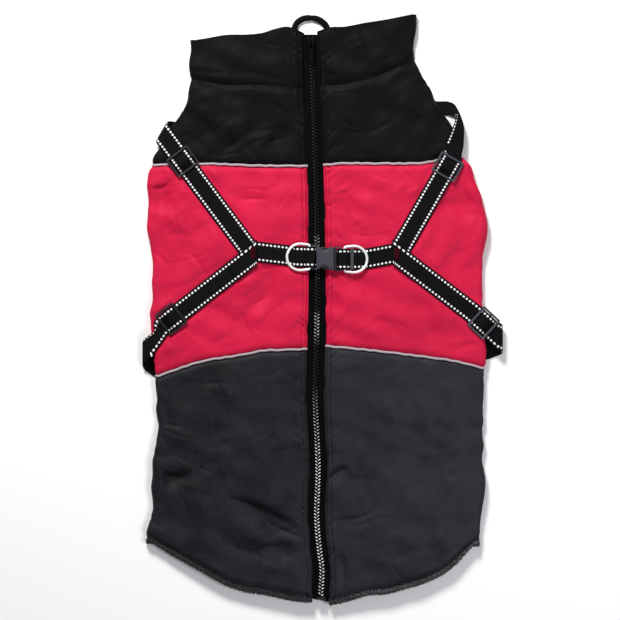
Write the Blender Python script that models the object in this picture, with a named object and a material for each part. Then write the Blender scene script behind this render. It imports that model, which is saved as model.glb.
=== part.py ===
"""A padded zip-up dog coat with a webbing harness, laid flat with its zip side up.

X runs across the coat, Y from the hem to the collar and Z up from the surface it lies on.
The origin is on the flat underside, beneath the zip. All sizes are in millimetres and are
turned into metres when a mesh is made. The coat is a flattened tube of padded cloth: the
front pieces run from the zip round a rounded side fold to a side seam underneath, where a
flat belly panel with two leg holes closes the tube.
"""
import math
from collections import namedtuple

import bmesh
import bpy
import numpy as np

MM = 0.001

# ---------------------------------------------------------------- driving sizes
SIDE_HEIGHT = 11.0      # height of the laid coat at its side folds
CROWN = 2.4             # how much higher its middle stands
WALL = 4.5              # shell, wadding and fleece together
LINING_HEIGHT = 6.5     # underside of the upper layer
FOLD_RADIUS = SIDE_HEIGHT / 2
LINING_RADIUS = FOLD_RADIUS - WALL
UNDER_WIDTH = 26.0      # how far the fronts run under the coat, to the side seam
SEAM_GAP = 0.3
SIDE_SEAM_GAP = 0.9     # at the curved side seams underneath
SEAM_DIP = 2.4          # depth of the trough along a seam
SEAM_REACH = 4.0        # half width of that trough
ZIP_DIP = 3.2           # how far the padded edge rolls down beside the zip
ZIP_REACH = 3.0

ZIP_TAPE_HEIGHT = 9.0
ZIP_TAPE_THICK = 0.8
ZIP_CLEAR = 0.5         # between the tapes and the padded edges
CHAIN_WIDTH = 6.0
CHAIN_THICK = 2.6
CHAIN_HEIGHT = 10.0

PIPING_WIDTH = 3.2
PIPING_THICK = 1.2
PIPING_CLEAR = 0.6

WEB_WIDTH = 20.7
WEB_THICK = 1.4
WEB_CLEAR = 0.5         # underside of the webbing above the coat's crown
WEB_MID = WEB_CLEAR + WEB_THICK / 2
WEB_TOP = WEB_CLEAR + WEB_THICK
LAYER_STEP = WEB_THICK + SEAM_GAP
WRAP_LOW = 0.9          # height of the webbing's middle under the coat
WEB_TROUGH = 2.6        # how far the padding is pressed up over the webbing

GLIDE_LENGTH = 22.0
GLIDE_WIDTH = 26.0
GLIDE_BAR = 2.2
GLIDE_THICK = 1.7
GLIDE_RISE = WEB_THICK + 2 * SEAM_GAP + GLIDE_THICK     # climb of the webbing over the middle bar

RING_WIRE = 1.35
RING_HALF = 13.2
RING_BAR_HALF = 12.3
RING_LENGTH = 22.5
RING_HEIGHT = WEB_TOP + 0.45 + RING_WIRE

LOOP_WIDTH = 6.2
LOOP_THICK = 3.8
LOOP_HEIGHT = 2.4

LEG_HOLE_HALF = (33.0, 47.0)
LEG_HOLE_CENTRE = (70.0, 92.0)
LEG_BINDING = 3.0

# ---------------------------------------------------------------- outline tables
# One row for each section of the laid coat: its height up the coat and its two side edges.
Section = namedtuple("Section", "y left right")
SECTIONS = (
    Section(-240.0, -169.0, 160.0),
    Section(-230.0, -171.5, 162.5),
    Section(-220.0, -171.0, 163.8),
    Section(-200.0, -166.3, 164.0),
    Section(-182.0, -163.8, 165.8),
    Section(-166.0, -162.5, 167.0),
    Section(-150.0, -165.0, 165.0),
    Section(-132.0, -162.0, 166.0),
    Section(-92.0, -162.0, 166.0),
    Section(-72.0, -164.0, 165.5),
    Section(-54.0, -165.5, 169.5),
    Section(-30.0, -167.0, 168.5),
    Section(0.0, -168.0, 166.0),
    Section(60.0, -168.0, 166.0),
    Section(100.0, -170.5, 166.0),
    Section(118.0, -171.0, 161.0),
    Section(134.0, -170.0, 155.5),
    Section(144.0, -168.0, 151.5),
    Section(152.0, -165.5, 145.0),
    Section(160.0, -160.5, 141.5),
    Section(170.0, -156.0, 138.5),
    Section(180.0, -151.5, 135.5),
    Section(190.0, -144.0, 132.0),
    Section(199.0, -137.5, 126.0),
    Section(209.0, -131.0, 117.0),
    Section(223.0, -129.0, 113.0),
    Section(237.0, -128.3, 104.0),
    Section(251.0, -128.5, 100.0),
    Section(266.0, -127.5, 97.0),
    Section(281.0, -127.5, 98.0),
    Section(297.0, -127.5, 100.0),
)

# The zip's middle line and half the width of the black band between the padded edges.
ZipRow = namedtuple("ZipRow", "y x half")
ZIP_ROWS = (
    ZipRow(-296.0, 2.5, 8.0),
    ZipRow(-280.0, 3.0, 8.5),
    ZipRow(-262.0, 4.0, 8.5),
    ZipRow(-237.0, 1.0, 8.5),
    ZipRow(-210.0, -1.2, 8.5),
    ZipRow(-163.0, 0.0, 8.5),
    ZipRow(-75.0, -3.0, 9.0),
    ZipRow(-40.0, -1.8, 9.2),
    ZipRow(0.0, -1.0, 8.8),
    ZipRow(124.0, -2.0, 8.0),
    ZipRow(220.0, -5.2, 7.4),
    ZipRow(290.0, -7.8, 6.2),
)

# Curves across each half, from the zip (0) to the side fold (1), with the height up the coat.
Cross = namedtuple("Cross", "share y")
COLLAR_TOP = {
    -1: (Cross(0.0, 277.0), Cross(0.15, 283.4), Cross(0.27, 281.2), Cross(0.38, 277.4),
         Cross(0.5, 275.8), Cross(0.73, 275.3), Cross(0.92, 271.8), Cross(1.0, 270.4)),
    1: (Cross(0.0, 278.5), Cross(0.13, 282.6), Cross(0.28, 283.2), Cross(0.5, 287.2),
        Cross(0.79, 291.6), Cross(1.0, 296.0)),
}
COLLAR_SEAM = {
    -1: (Cross(0.0, 222.0), Cross(0.12, 223.0), Cross(0.4, 225.0), Cross(0.78, 226.0),
         Cross(1.0, 231.0)),
    1: (Cross(0.0, 225.0), Cross(0.15, 225.0), Cross(0.42, 230.0), Cross(0.75, 240.0),
        Cross(1.0, 250.0)),
}
UPPER_SEAM = {
    -1: (Cross(0.0, 144.0), Cross(0.3, 144.3), Cross(0.7, 146.2), Cross(1.0, 145.0)),
    1: (Cross(0.0, 145.0), Cross(0.12, 146.4), Cross(0.4, 146.5), Cross(0.77, 148.0),
        Cross(1.0, 155.0)),
}
LOWER_SEAM = {
    -1: (Cross(0.0, -39.0), Cross(0.16, -40.0), Cross(0.28, -40.5), Cross(0.44, -45.0),
         Cross(0.72, -52.0), Cross(0.86, -58.5), Cross(1.0, -66.0)),
    1: (Cross(0.0, -36.0), Cross(0.27, -40.0), Cross(0.54, -45.0), Cross(0.88, -53.0),
        Cross(1.0, -58.0)),
}
HEM_LINE = {
    -1: (Cross(0.0, -292.5), Cross(0.1, -291.5), Cross(0.3, -285.0), Cross(0.43, -282.0),
         Cross(0.55, -275.5), Cross(0.67, -265.0), Cross(0.8, -253.5), Cross(0.92, -242.5),
         Cross(1.0, -233.5)),
    1: (Cross(0.0, -295.5), Cross(0.1, -292.8), Cross(0.2, -288.5), Cross(0.27, -285.5),
        Cross(0.4, -284.3), Cross(0.52, -279.5), Cross(0.66, -273.5), Cross(0.8, -264.0),
        Cross(0.9, -252.5), Cross(1.0, -236.5)),
}
HEM_BAND = 5.5          # width of the bound fleece edge

# The largest folds: soft troughs along straight lines, deepest in the middle.
Fold = namedtuple("Fold", "x0 y0 x1 y1 depth width")
FOLDS = (
    Fold(-103.0, 156.0, -58.0, 188.0, 1.4, 8.0),
    Fold(-57.0, 160.0, -30.0, 182.0, 1.2, 8.0),
    Fold(27.0, 192.0, 4.0, 160.0, 1.4, 8.0),
    Fold(-150.0, 132.0, -164.0, 98.0, 1.6, 9.0),
    Fold(-80.0, -9.0, -43.0, 31.0, 1.6, 9.0),
    Fold(125.0, 128.0, 152.0, 87.0, 1.4, 10.0),
    Fold(49.0, 36.0, 63.0, -5.0, 1.2, 9.0),
    Fold(-155.0, -168.0, -128.0, -164.0, 2.0, 8.0),
    Fold(-90.0, -191.0, -21.0, -221.0, 1.8, 9.0),
    Fold(-105.0, -237.0, -24.0, -243.0, 1.4, 13.0),
    Fold(11.0, -171.0, 32.0, -158.0, 1.2, 8.0),
    Fold(19.0, -209.0, 53.0, -199.0, 1.4, 8.0),
    Fold(22.0, -245.0, 24.0, -274.0, 1.4, 8.0),
)

# Where webbing passes under a side: the padding is pressed up between these heights.
Trough = namedtuple("Trough", "side low high")
TROUGHS = (
    Trough(-1, 146.0, 190.0),
    Trough(-1, -88.0, -36.0),
    Trough(1, 186.0, 218.0),
    Trough(1, -64.0, -18.0),
)
TROUGH_RAMP = 12.0

# ---------------------------------------------------------------- harness routes
# Route points of the webbing's middle line in plan, from the junction outwards.
UPPER_ROUTE = {-1: ((-69.8, 61.4), (-135.0, 148.5), (-152.8, 172.3)),
               1: ((82.7, 61.5), (129.5, 143.0))}
LOWER_ROUTE = {-1: ((-61.0, 57.5), (-146.6, -9.0), (-157.7, -17.6), (-165.0, -28.0)),
               1: ((74.5, 58.0), (153.7, -2.2), (179.6, -26.0))}
MIDDLE_ROUTE = {-1: ((-59.8, 58.0), (-33.0, 54.8), (-22.0, 53.2), (-4.6, 52.8)),
                1: ((73.0, 55.6), (49.5, 51.2), (38.0, 50.7), (20.6, 50.7))}
# How far outside its last route point the webbing reaches as it turns under.
WRAP_REACH = {("upper", -1): 6.2, ("lower", -1): 10.3, ("lower", 1): 4.9}
WRAP_UNDER = {("upper", -1): 16.0, ("lower", -1): 13.0, ("lower", 1): 27.0}
# How much of its slant the webbing keeps from its turn on.
UNDER_SLANT = {("upper", -1): 1.0, ("lower", -1): 0.54, ("lower", 1): 0.4}
# How far an outer edge curls in past the adjuster, as a share of its half width.
CURL = {("lower", -1): 0.7}
CURL_START = 9.0
CURL_RAMP = 16.0
# Direction of the coat's side where the webbing turns under.
WRAP_EDGE = {("upper", -1): (-0.505, -0.863), ("lower", -1): (0.0, -1.0), ("lower", 1): (0.0, -1.0)}
GLIDE_AT = {("upper", -1): (-135.0, 148.5), ("upper", 1): (129.5, 143.0),
            ("lower", -1): (-146.6, -9.0), ("lower", 1): (165.5, -13.0)}
LIFT_LENGTH = 28.0      # end of a lower strap that lies on the upper one
LIFT_RAMP = 8.0

# The right upper webbing twists over the shoulder and turns back under the yoke: its two
# edges, each with its height, one row for each station after the adjuster.
Twist = namedtuple("Twist", "lx ly lz rx ry rz")
TWIST_ROWS = (
    Twist(124.5, 160.5, 12.9, 143.6, 152.0, 12.4),
    Twist(128.3, 168.5, 12.8, 145.4, 163.0, 11.2),
    Twist(131.8, 176.0, 12.6, 146.2, 172.5, 10.2),
    Twist(135.0, 183.5, 12.2, 146.2, 181.5, 9.2),
    Twist(137.6, 190.5, 11.0, 144.4, 190.0, 6.6),
    Twist(138.8, 194.6, 8.6, 141.0, 199.0, 4.2),
    Twist(136.6, 194.9, 4.6, 137.2, 206.0, 2.2),
    Twist(131.0, 194.9, 1.6, 131.0, 209.0, 1.2),
    Twist(122.0, 194.9, WRAP_LOW, 122.0, 209.3, WRAP_LOW),
    Twist(104.0, 194.9, WRAP_LOW, 104.0, 209.3, WRAP_LOW),
)

# ---------------------------------------------------------------- finishes
Finish = namedtuple("Finish", "red green blue roughness metallic")
BLACK_CLOTH = Finish(0.012, 0.012, 0.014, 0.75, 0.0)
RED_CLOTH = Finish(0.55, 0.02, 0.06, 0.7, 0.0)
FLEECE = Finish(0.03, 0.03, 0.032, 0.95, 0.0)
REFLECTIVE = Finish(0.45, 0.36, 0.38, 0.4, 0.0)
WEBBING = Finish(0.006, 0.006, 0.007, 0.8, 0.0)
BLACK_PLASTIC = Finish(0.04, 0.04, 0.045, 0.45, 0.0)
BUCKLE_PLASTIC = Finish(0.07, 0.07, 0.09, 0.4, 0.0)
ZIP_TEETH = Finish(0.05, 0.05, 0.055, 0.35, 0.0)
DARK_METAL = Finish(0.08, 0.08, 0.085, 0.35, 0.9)
BRIGHT_METAL = Finish(0.75, 0.75, 0.77, 0.2, 1.0)


# ---------------------------------------------------------------- scene and mesh helpers
def clear_scene():
    """Remove every object of the scene."""
    for item in list(bpy.data.objects):
        bpy.data.objects.remove(item, do_unlink=True)


def material_for(name, finish):
    """A Principled material of the piece's own."""
    material = bpy.data.materials.new(name)
    material.use_nodes = True
    shader = material.node_tree.nodes["Principled BSDF"]
    shader.inputs["Base Color"].default_value = (finish.red, finish.green, finish.blue, 1.0)
    shader.inputs["Roughness"].default_value = finish.roughness
    shader.inputs["Metallic"].default_value = finish.metallic
    return material


def add_piece(name, points, faces, finish, round_shading=True):
    """A named object from points in millimetres, with its faces turned outwards."""
    mesh = bpy.data.meshes.new(name)
    mesh.from_pydata([tuple(p) for p in np.asarray(points) * MM], [], faces)
    work = bmesh.new()
    work.from_mesh(mesh)
    bmesh.ops.recalc_face_normals(work, faces=work.faces)
    work.to_mesh(mesh)
    work.free()
    if round_shading:
        mesh.shade_smooth()
        mesh.set_sharp_from_angle(angle=math.radians(40.0))
    piece = bpy.data.objects.new(name, mesh)
    mesh.materials.append(material_for(name, finish))
    bpy.context.collection.objects.link(piece)
    return piece


def set_origin(piece, point):
    """Move a piece's origin to a point in millimetres and leave its shape where it is."""
    shift = np.asarray(point) * MM
    for vertex in piece.data.vertices:
        vertex.co = [value - move for value, move in zip(vertex.co, shift)]
    piece.location = shift


def wall(name, outer, inner, finish):
    """A closed wall between two equal grids of points, stitched along its four rims."""
    rows, columns = outer.shape[:2]
    count = rows * columns
    points = np.concatenate([outer.reshape(-1, 3), inner.reshape(-1, 3)])
    index = np.arange(count).reshape(rows, columns)
    faces = []
    for r in range(rows - 1):
        for c in range(columns - 1):
            quad = (index[r, c], index[r, c + 1], index[r + 1, c + 1], index[r + 1, c])
            faces.append([int(i) for i in quad])
            faces.append([int(i) + count for i in reversed(quad)])
    rim = list(index[0]) + list(index[1:, -1]) + list(index[-1, -2::-1]) + list(index[-2:0:-1, 0])
    for a, b in zip(rim, rim[1:] + rim[:1]):
        faces.append([int(b), int(a), int(a) + count, int(b) + count])
    return add_piece(name, points, faces, finish)


def tube(name, rings, finish, closed=False, round_shading=True):
    """A solid through equal rings of points, capped at its ends unless it closes on itself."""
    rings = np.asarray(rings)
    count, sides = rings.shape[:2]
    faces = []
    for r in range(count if closed else count - 1):
        for s in range(sides):
            here, there = r * sides, ((r + 1) % count) * sides
            after = (s + 1) % sides
            faces.append([here + s, here + after, there + after, there + s])
    if not closed:
        faces.append(list(range(sides)))
        faces.append(list(range((count - 1) * sides, count * sides)))
    return add_piece(name, rings.reshape(-1, 3), faces, finish, round_shading)


def block(low, high):
    """The eight corners and six faces of a box."""
    points = [(x, y, z) for z in (low[2], high[2]) for y in (low[1], high[1]) for x in (low[0], high[0])]
    faces = [[0, 1, 3, 2], [4, 5, 7, 6], [0, 1, 5, 4], [2, 3, 7, 6], [0, 2, 6, 4], [1, 3, 7, 5]]
    return points, faces


def combine(piece, others, operation):
    """Join other pieces to a piece, or cut them from it, and remove them."""
    for other in others:
        step = piece.modifiers.new("combine", "BOOLEAN")
        step.operation = operation
        step.solver = "EXACT"
        step.object = other
    depsgraph = bpy.context.evaluated_depsgraph_get()
    result = bpy.data.meshes.new_from_object(piece.evaluated_get(depsgraph))
    piece.modifiers.clear()
    old = piece.data
    piece.data = result
    bpy.data.meshes.remove(old)
    for other in others:
        bpy.data.objects.remove(other, do_unlink=True)
    return piece


def smooth_line(knots, values):
    """A function through rising knots, with cubic pieces between them."""
    knots = np.asarray(knots, dtype=float)
    values = np.asarray(values, dtype=float)
    slopes = np.gradient(values, knots)

    def at(where):
        where = np.clip(where, knots[0], knots[-1])
        i = np.clip(np.searchsorted(knots, where, side="right") - 1, 0, len(knots) - 2)
        step = knots[i + 1] - knots[i]
        t = (where - knots[i]) / step
        start = (1 + 2 * t) * (1 - t) ** 2 * values[i] + t * (1 - t) ** 2 * step * slopes[i]
        end = t * t * (3 - 2 * t) * values[i + 1] - t * t * (1 - t) * step * slopes[i + 1]
        return start + end

    return at


def ease(t):
    """Smooth step from 0 to 1."""
    t = np.clip(t, 0.0, 1.0)
    return t * t * (3.0 - 2.0 * t)


# ---------------------------------------------------------------- the coat's form
EDGE = {-1: smooth_line([s.y for s in SECTIONS], [s.left for s in SECTIONS]),
        1: smooth_line([s.y for s in SECTIONS], [s.right for s in SECTIONS])}
ZIP_X = smooth_line([r.y for r in ZIP_ROWS], [r.x for r in ZIP_ROWS])
ZIP_HALF = smooth_line([r.y for r in ZIP_ROWS], [r.half for r in ZIP_ROWS])


def across(table):
    """Turn a table of shares and heights into a function for each side."""
    return {side: smooth_line([c.share for c in rows], [c.y for c in rows]) for side, rows in table.items()}


TOP_CURVE = across(COLLAR_TOP)
COLLAR_CURVE = across(COLLAR_SEAM)
UPPER_CURVE = across(UPPER_SEAM)
LOWER_CURVE = across(LOWER_SEAM)
HEM_CURVE = across(HEM_LINE)
SEAM_CURVES = (COLLAR_CURVE, UPPER_CURVE, LOWER_CURVE)


def fold_x(side, y):
    """Where the flat top ends and the rounded side fold starts."""
    return EDGE[side](y) - side * FOLD_RADIUS


def zip_edge(side, y):
    """The padded edge beside the zip."""
    return ZIP_X(y) + side * ZIP_HALF(y)


def crown(x, y):
    """Height of the coat's smooth top, without troughs."""
    left, right = fold_x(-1, y), fold_x(1, y)
    share = (x - (left + right) / 2) / ((right - left) / 2)
    return SIDE_HEIGHT + CROWN * (1.0 - np.clip(np.abs(share), 0.0, 1.0) ** 4)


def fold_depth(x, y):
    """Depth of all the soft folds at a point."""
    total = 0.0
    for fold in FOLDS:
        dx, dy = fold.x1 - fold.x0, fold.y1 - fold.y0
        length = math.hypot(dx, dy)
        along = ((x - fold.x0) * dx + (y - fold.y0) * dy) / length ** 2
        off = ((x - fold.x0) * dy - (y - fold.y0) * dx) / length
        taper = np.clip(1.0 - (2.0 * along - 1.0) ** 2, 0.0, None)
        total = total + fold.depth * taper * np.exp(-(off / fold.width) ** 2)
    return total


def surface(side, share, x, y):
    """Height of the upper layer's outer face: the crown less seam troughs, zip roll and folds."""
    depth = fold_depth(x, y)
    for curve in SEAM_CURVES:
        depth = np.maximum(depth, SEAM_DIP * np.exp(-((y - curve[side](share)) / SEAM_REACH) ** 2))
    hem = y - (HEM_CURVE[side](share) + HEM_BAND)
    below, above = np.minimum(hem, 0.0) / 9.0, np.maximum(hem, 0.0) / 4.0
    depth = np.maximum(depth, SEAM_DIP * np.exp(-below ** 2 - above ** 2))
    depth = np.maximum(depth, ZIP_DIP * np.exp(-((x - zip_edge(side, y)) / ZIP_REACH) ** 2))
    return crown(x, y) - depth


def trough(side, y):
    """How far the underside is pressed up over webbing that passes under a side."""
    height = 0.0
    for row in TROUGHS:
        if row.side == side:
            inside = np.minimum(y - row.low, row.high - y) / TROUGH_RAMP + 1.0
            height = np.maximum(height, WEB_TROUGH * ease(inside))
    return height


TOP_SHARES = (0.0, 0.02, 0.06, 0.14, 0.22, 0.3, 0.38, 0.46, 0.54, 0.62, 0.7, 0.78, 0.86, 0.93, 1.0)
FOLD_ANGLES = (36.0, 72.0, 108.0, 144.0, 180.0)
COLLAR_ROWS = (0.0, 0.1, 0.4, 0.7, 0.92, 1.0)
UNDER_SHARE = 0.74      # share across a half at which the side seam underneath lies


def front_grids(side, upper, lower, heights, rise):
    """Outer and inner points of a front piece between two curves, round its side fold.

    Under the coat its upper edge climbs by the rise, so that it follows the edge above it.
    """
    turns = len(FOLD_ANGLES)
    shares = np.array(TOP_SHARES + (1.0,) * (turns + 1))
    angles = np.radians(np.array((0.0,) * len(TOP_SHARES) + FOLD_ANGLES + (180.0,)))
    under = np.zeros(len(shares))
    under[-1] = UNDER_WIDTH
    drop = np.array(heights)[:, None]
    top_line = upper(shares) + rise * under / UNDER_WIDTH
    y = top_line[None, :] * (1.0 - drop) + lower(shares)[None, :] * drop
    share = np.broadcast_to(shares, y.shape)
    start, end = zip_edge(side, y), fold_x(side, y)
    x = start + (end - start) * share
    top = surface(side, share, x, y)
    press = trough(side, y)
    radius = (top - press) / 2
    centre = (top + press) / 2
    on_top = np.arange(len(shares)) < len(TOP_SHARES)
    outer_x = x + side * (radius * np.sin(angles) - under)
    outer_z = np.where(on_top, top, centre + radius * np.cos(angles))
    inner_x = x + side * (LINING_RADIUS * np.sin(angles) - under)
    inner_row = np.where(on_top, LINING_HEIGHT, FOLD_RADIUS + LINING_RADIUS * np.cos(angles))
    inner_z = np.broadcast_to(inner_row, y.shape)
    return np.stack([outer_x, y, outer_z], -1), np.stack([inner_x, y, inner_z], -1)


def row_shares(count, height):
    """Row places down a piece of about this height, closer beside its seams."""
    near = (0.0, 4.5 / height, 11.0 / height)
    middle = np.linspace(near[-1], 1.0 - near[-1], count)[1:-1]
    return list(near) + list(middle) + [1.0 - value for value in reversed(near)]


def front_piece(name, side, upper, lower, heights, finish, rise=0.0):
    """A front piece, half a seam gap short of the curves above and below it."""
    half = SEAM_GAP / 2
    outer, inner = front_grids(side, lambda u: upper(u) - half, lambda u: lower(u) + half, heights, rise)
    return wall(name, outer, inner, finish)


def make_fronts():
    """Collar, yoke, red middle, lower body and bound hem on both sides of the zip."""
    for side, word in ((-1, "left"), (1, "right")):
        top, collar, upper = TOP_CURVE[side], COLLAR_CURVE[side], UPPER_CURVE[side]
        lower, hem = LOWER_CURVE[side], HEM_CURVE[side]
        band = lambda u, hem=hem: hem(u) + HEM_BAND
        rise = float(top(UNDER_SHARE) - top(1.0))
        front_piece(f"collar_{word}", side, top, collar, COLLAR_ROWS, BLACK_CLOTH, rise)
        front_piece(f"yoke_{word}", side, collar, upper, row_shares(7, 85.0), BLACK_CLOTH)
        front_piece(f"red_{word}", side, upper, lower, row_shares(13, 200.0), RED_CLOTH)
        front_piece(f"lower_{word}", side, lower, band, row_shares(16, 230.0), BLACK_CLOTH)
        front_piece(f"hem_{word}", side, band, hem, (0.0, 0.5, 1.0), FLEECE)


# ---------------------------------------------------------------- belly side
def slab(name, outline, low, high, finish):
    """A flat plate with the given outline."""
    count = len(outline)
    points = [(x, y, low) for x, y in outline] + [(x, y, high) for x, y in outline]
    faces = [list(range(count)), list(range(count, 2 * count))]
    for i in range(count):
        after = (i + 1) % count
        faces.append([i, after, after + count, i + count])
    piece = add_piece(name, points, faces, finish, round_shading=False)
    return piece


def oval(centre, half, count=32):
    """Points round an oval."""
    turn = np.linspace(0.0, 2.0 * math.pi, count, endpoint=False)
    return [(centre[0] + half[0] * math.cos(a), centre[1] + half[1] * math.sin(a)) for a in turn]


def seam_side(side, heights):
    """Points down a side seam of the belly side."""
    inset = UNDER_WIDTH + SIDE_SEAM_GAP
    return [(float(fold_x(side, y) - side * inset), float(y)) for y in heights]


HEM_INSET = 3.0         # how far the belly side stays inside the upper hem
COLLAR_BACK_INSET = 3.0


def make_belly():
    """The belly panel with two bound leg holes."""
    heights = np.linspace(-230.0, 226.0, 58)
    shares = np.linspace(0.76, 0.0, 7)
    outline = seam_side(-1, reversed(heights))
    for side, order in ((-1, shares), (1, shares[::-1])):
        for share in order:
            y = float(HEM_CURVE[side](share)) + HEM_INSET
            x = float(zip_edge(side, y) + (fold_x(side, max(y, -229.0)) - zip_edge(side, y)) * share)
            outline.append((x, y))
    outline += seam_side(1, heights)
    panel = slab("belly_panel", outline, 0.0, WALL, BLACK_CLOTH)
    cutters = []
    for side, word in ((-1, "left"), (1, "right")):
        centre = (side * LEG_HOLE_CENTRE[0], LEG_HOLE_CENTRE[1])
        cutters.append(slab(f"cut_{word}", oval(centre, LEG_HOLE_HALF), -5.0, WALL + 5.0, BLACK_CLOTH))
        make_leg_binding(word, centre)
    combine(panel, cutters, "DIFFERENCE")


def make_leg_binding(word, centre):
    """A flat binding ring that edges a leg hole."""
    outer = oval(centre, [half - SEAM_GAP for half in LEG_HOLE_HALF])
    inner = oval(centre, [half - SEAM_GAP - LEG_BINDING for half in LEG_HOLE_HALF])
    rings = []
    for (ox, oy), (ix, iy) in zip(outer, inner):
        rings.append([(ox, oy, 0.0), (ox, oy, WALL + 0.4), (ix, iy, WALL + 0.4), (ix, iy, 0.0)])
    tube(f"leg_binding_{word}", rings, FLEECE, closed=True, round_shading=False)


def make_collar_back():
    """The back of the stand collar, flat under the two fronts."""
    heights = np.linspace(226.0 + SEAM_GAP, 262.0, 5)
    outline = seam_side(-1, heights) + [(-60.0, 271.0), (-24.0, 276.0), (12.0, 276.0), (40.0, 280.0)]
    outline += seam_side(1, [284.0, 270.0, 255.0, 240.0, 226.0 + SEAM_GAP])
    slab("collar_back", outline, 0.0, WALL, BLACK_CLOTH)


# ---------------------------------------------------------------- piping and zip
def make_piping():
    """Reflective piping along both colour seams, made from the seams' own points."""
    for level, curves in (("upper", UPPER_CURVE), ("lower", LOWER_CURVE)):
        for side, word in ((-1, "left"), (1, "right")):
            rows = []
            shares = np.array(TOP_SHARES + (1.0, 1.0, 1.0))
            angles = np.radians(np.array((0.0,) * len(TOP_SHARES) + (28.0, 52.0, 72.0)))
            on_top = np.arange(len(shares)) < len(TOP_SHARES)
            for offset, rise in ((-PIPING_WIDTH / 2, 0.0), (0.0, 0.35), (PIPING_WIDTH / 2, 0.0)):
                y = curves[side](shares) + offset
                x = zip_edge(side, y) + (fold_x(side, y) - zip_edge(side, y)) * shares
                edge = curves[side](shares) + PIPING_WIDTH / 2
                lift = surface(side, shares, x, edge) + PIPING_CLEAR
                pair = []
                centre = (lift + trough(side, y)) / 2
                for thick in (0.0, PIPING_THICK + rise):
                    reach = lift - centre + thick
                    px = x + side * reach * np.sin(angles)
                    pz = np.where(on_top, lift + thick, centre + reach * np.cos(angles))
                    pair.append(np.stack([px, y, pz], -1))
                rows.append(pair)
            lower = np.array([pair[0] for pair in rows])
            upper = np.array([pair[1] for pair in rows])
            wall(f"piping_{level}_{word}", upper, lower, REFLECTIVE)


ZIP_TOP = 274.0
ZIP_BOTTOM = -287.0
ZIP_STATIONS = 40
SLIDER_Y = 266.5
SLIDER_LENGTH = 11.0
SLIDER_WIDTH = 8.0
SLIDER_THICK = 1.8
BAIL_HALF = 4.0
BAIL_WIDTH = 1.6
PULL_LENGTH = 19.0
PULL_WIDTH = 5.0
PULL_THICK = 1.2


def zip_strip(name, inside, outside, height, thick, top, bottom, finish):
    """A strip that follows the zip's middle line between two offsets from it."""
    y = np.linspace(top, bottom, ZIP_STATIONS)
    rings = []
    for value in y:
        middle = float(ZIP_X(value))
        half = float(ZIP_HALF(value)) - ZIP_CLEAR
        near = middle + (inside if abs(inside) < 90 else math.copysign(half, inside))
        far = middle + (outside if abs(outside) < 90 else math.copysign(half, outside))
        rings.append([(near, value, height), (near, value, height + thick),
                      (far, value, height + thick), (far, value, height)])
    return tube(name, rings, finish)


def make_zip():
    """Two tapes, the chain between them, the slider with its bail, the pull and the box."""
    edge = CHAIN_WIDTH / 2 + SEAM_GAP
    to_panel = 99.0
    for side, word in ((-1, "left"), (1, "right")):
        zip_strip(f"zip_tape_{word}", side * edge, side * to_panel, ZIP_TAPE_HEIGHT,
                  ZIP_TAPE_THICK, ZIP_TOP, ZIP_BOTTOM, WEBBING)
    chain_low = CHAIN_HEIGHT - CHAIN_THICK / 2
    zip_strip("zip_chain", -CHAIN_WIDTH / 2, CHAIN_WIDTH / 2, chain_low, CHAIN_THICK,
              ZIP_TOP, ZIP_BOTTOM, ZIP_TEETH)
    middle = float(ZIP_X(ZIP_BOTTOM))
    points, faces = block((middle - 4.2, ZIP_BOTTOM - 3.0, chain_low - 0.3),
                          (middle + 4.2, ZIP_BOTTOM - SEAM_GAP, CHAIN_HEIGHT + 1.6))
    add_piece("zip_box", points, faces, ZIP_TEETH, round_shading=False)
    make_slider()


def make_slider():
    """The slider's upper plate with an arched bail, and the pull tab that hangs on the bail."""
    middle = float(ZIP_X(SLIDER_Y))
    base = CHAIN_HEIGHT + CHAIN_THICK / 2 + SEAM_GAP
    top = base + SLIDER_THICK
    half = SLIDER_WIDTH / 2
    axis = top + SEAM_GAP + PULL_THICK * 0.7
    under = axis + PULL_THICK * 0.7 + SEAM_GAP
    body, faces = block((middle - half, SLIDER_Y - SLIDER_LENGTH / 2, base),
                        (middle + half, SLIDER_Y + SLIDER_LENGTH / 2, top))
    slider = add_piece("zip_slider", body, faces, DARK_METAL, round_shading=False)
    cells, faces = slotted_plate((-BAIL_HALF, -BAIL_HALF + 1.0, BAIL_HALF - 1.0, BAIL_HALF),
                                 (top - 0.5, top - 0.2, under, under + 1.0), ((1, 1),),
                                 -BAIL_WIDTH / 2, BAIL_WIDTH / 2)
    points = [(middle + z, SLIDER_Y + x, y) for x, y, z in cells]
    combine(slider, [add_piece("bail", points, faces, DARK_METAL)], "UNION")
    make_pull(middle, axis)


def make_pull(middle, axis):
    """The pull tab: a slotted tab whose end bar sits in the bail, its origin on that bar's axis."""
    bar = PULL_THICK / 2
    slot = BAIL_WIDTH / 2 + 0.5
    points, faces = slotted_plate((-PULL_WIDTH / 2, -slot, slot, PULL_WIDTH / 2),
                                  (-PULL_LENGTH, -BAIL_HALF - 2.2, -bar, bar), ((1, 1),), -bar, bar)
    points = [(x + middle, y + SLIDER_Y, z + axis) for x, y, z in points]
    pull = add_piece("zip_pull", points, faces, DARK_METAL, round_shading=False)
    set_origin(pull, (middle, SLIDER_Y, axis))


# ---------------------------------------------------------------- hang loop
LOOP_POINTS = ((-22.8, 276.6), (-23.6, 282.0), (-21.0, 288.0), (-14.6, 292.2), (-6.5, 292.9),
               (1.0, 291.2), (6.8, 286.8), (9.8, 281.4), (10.4, 276.6))


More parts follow.
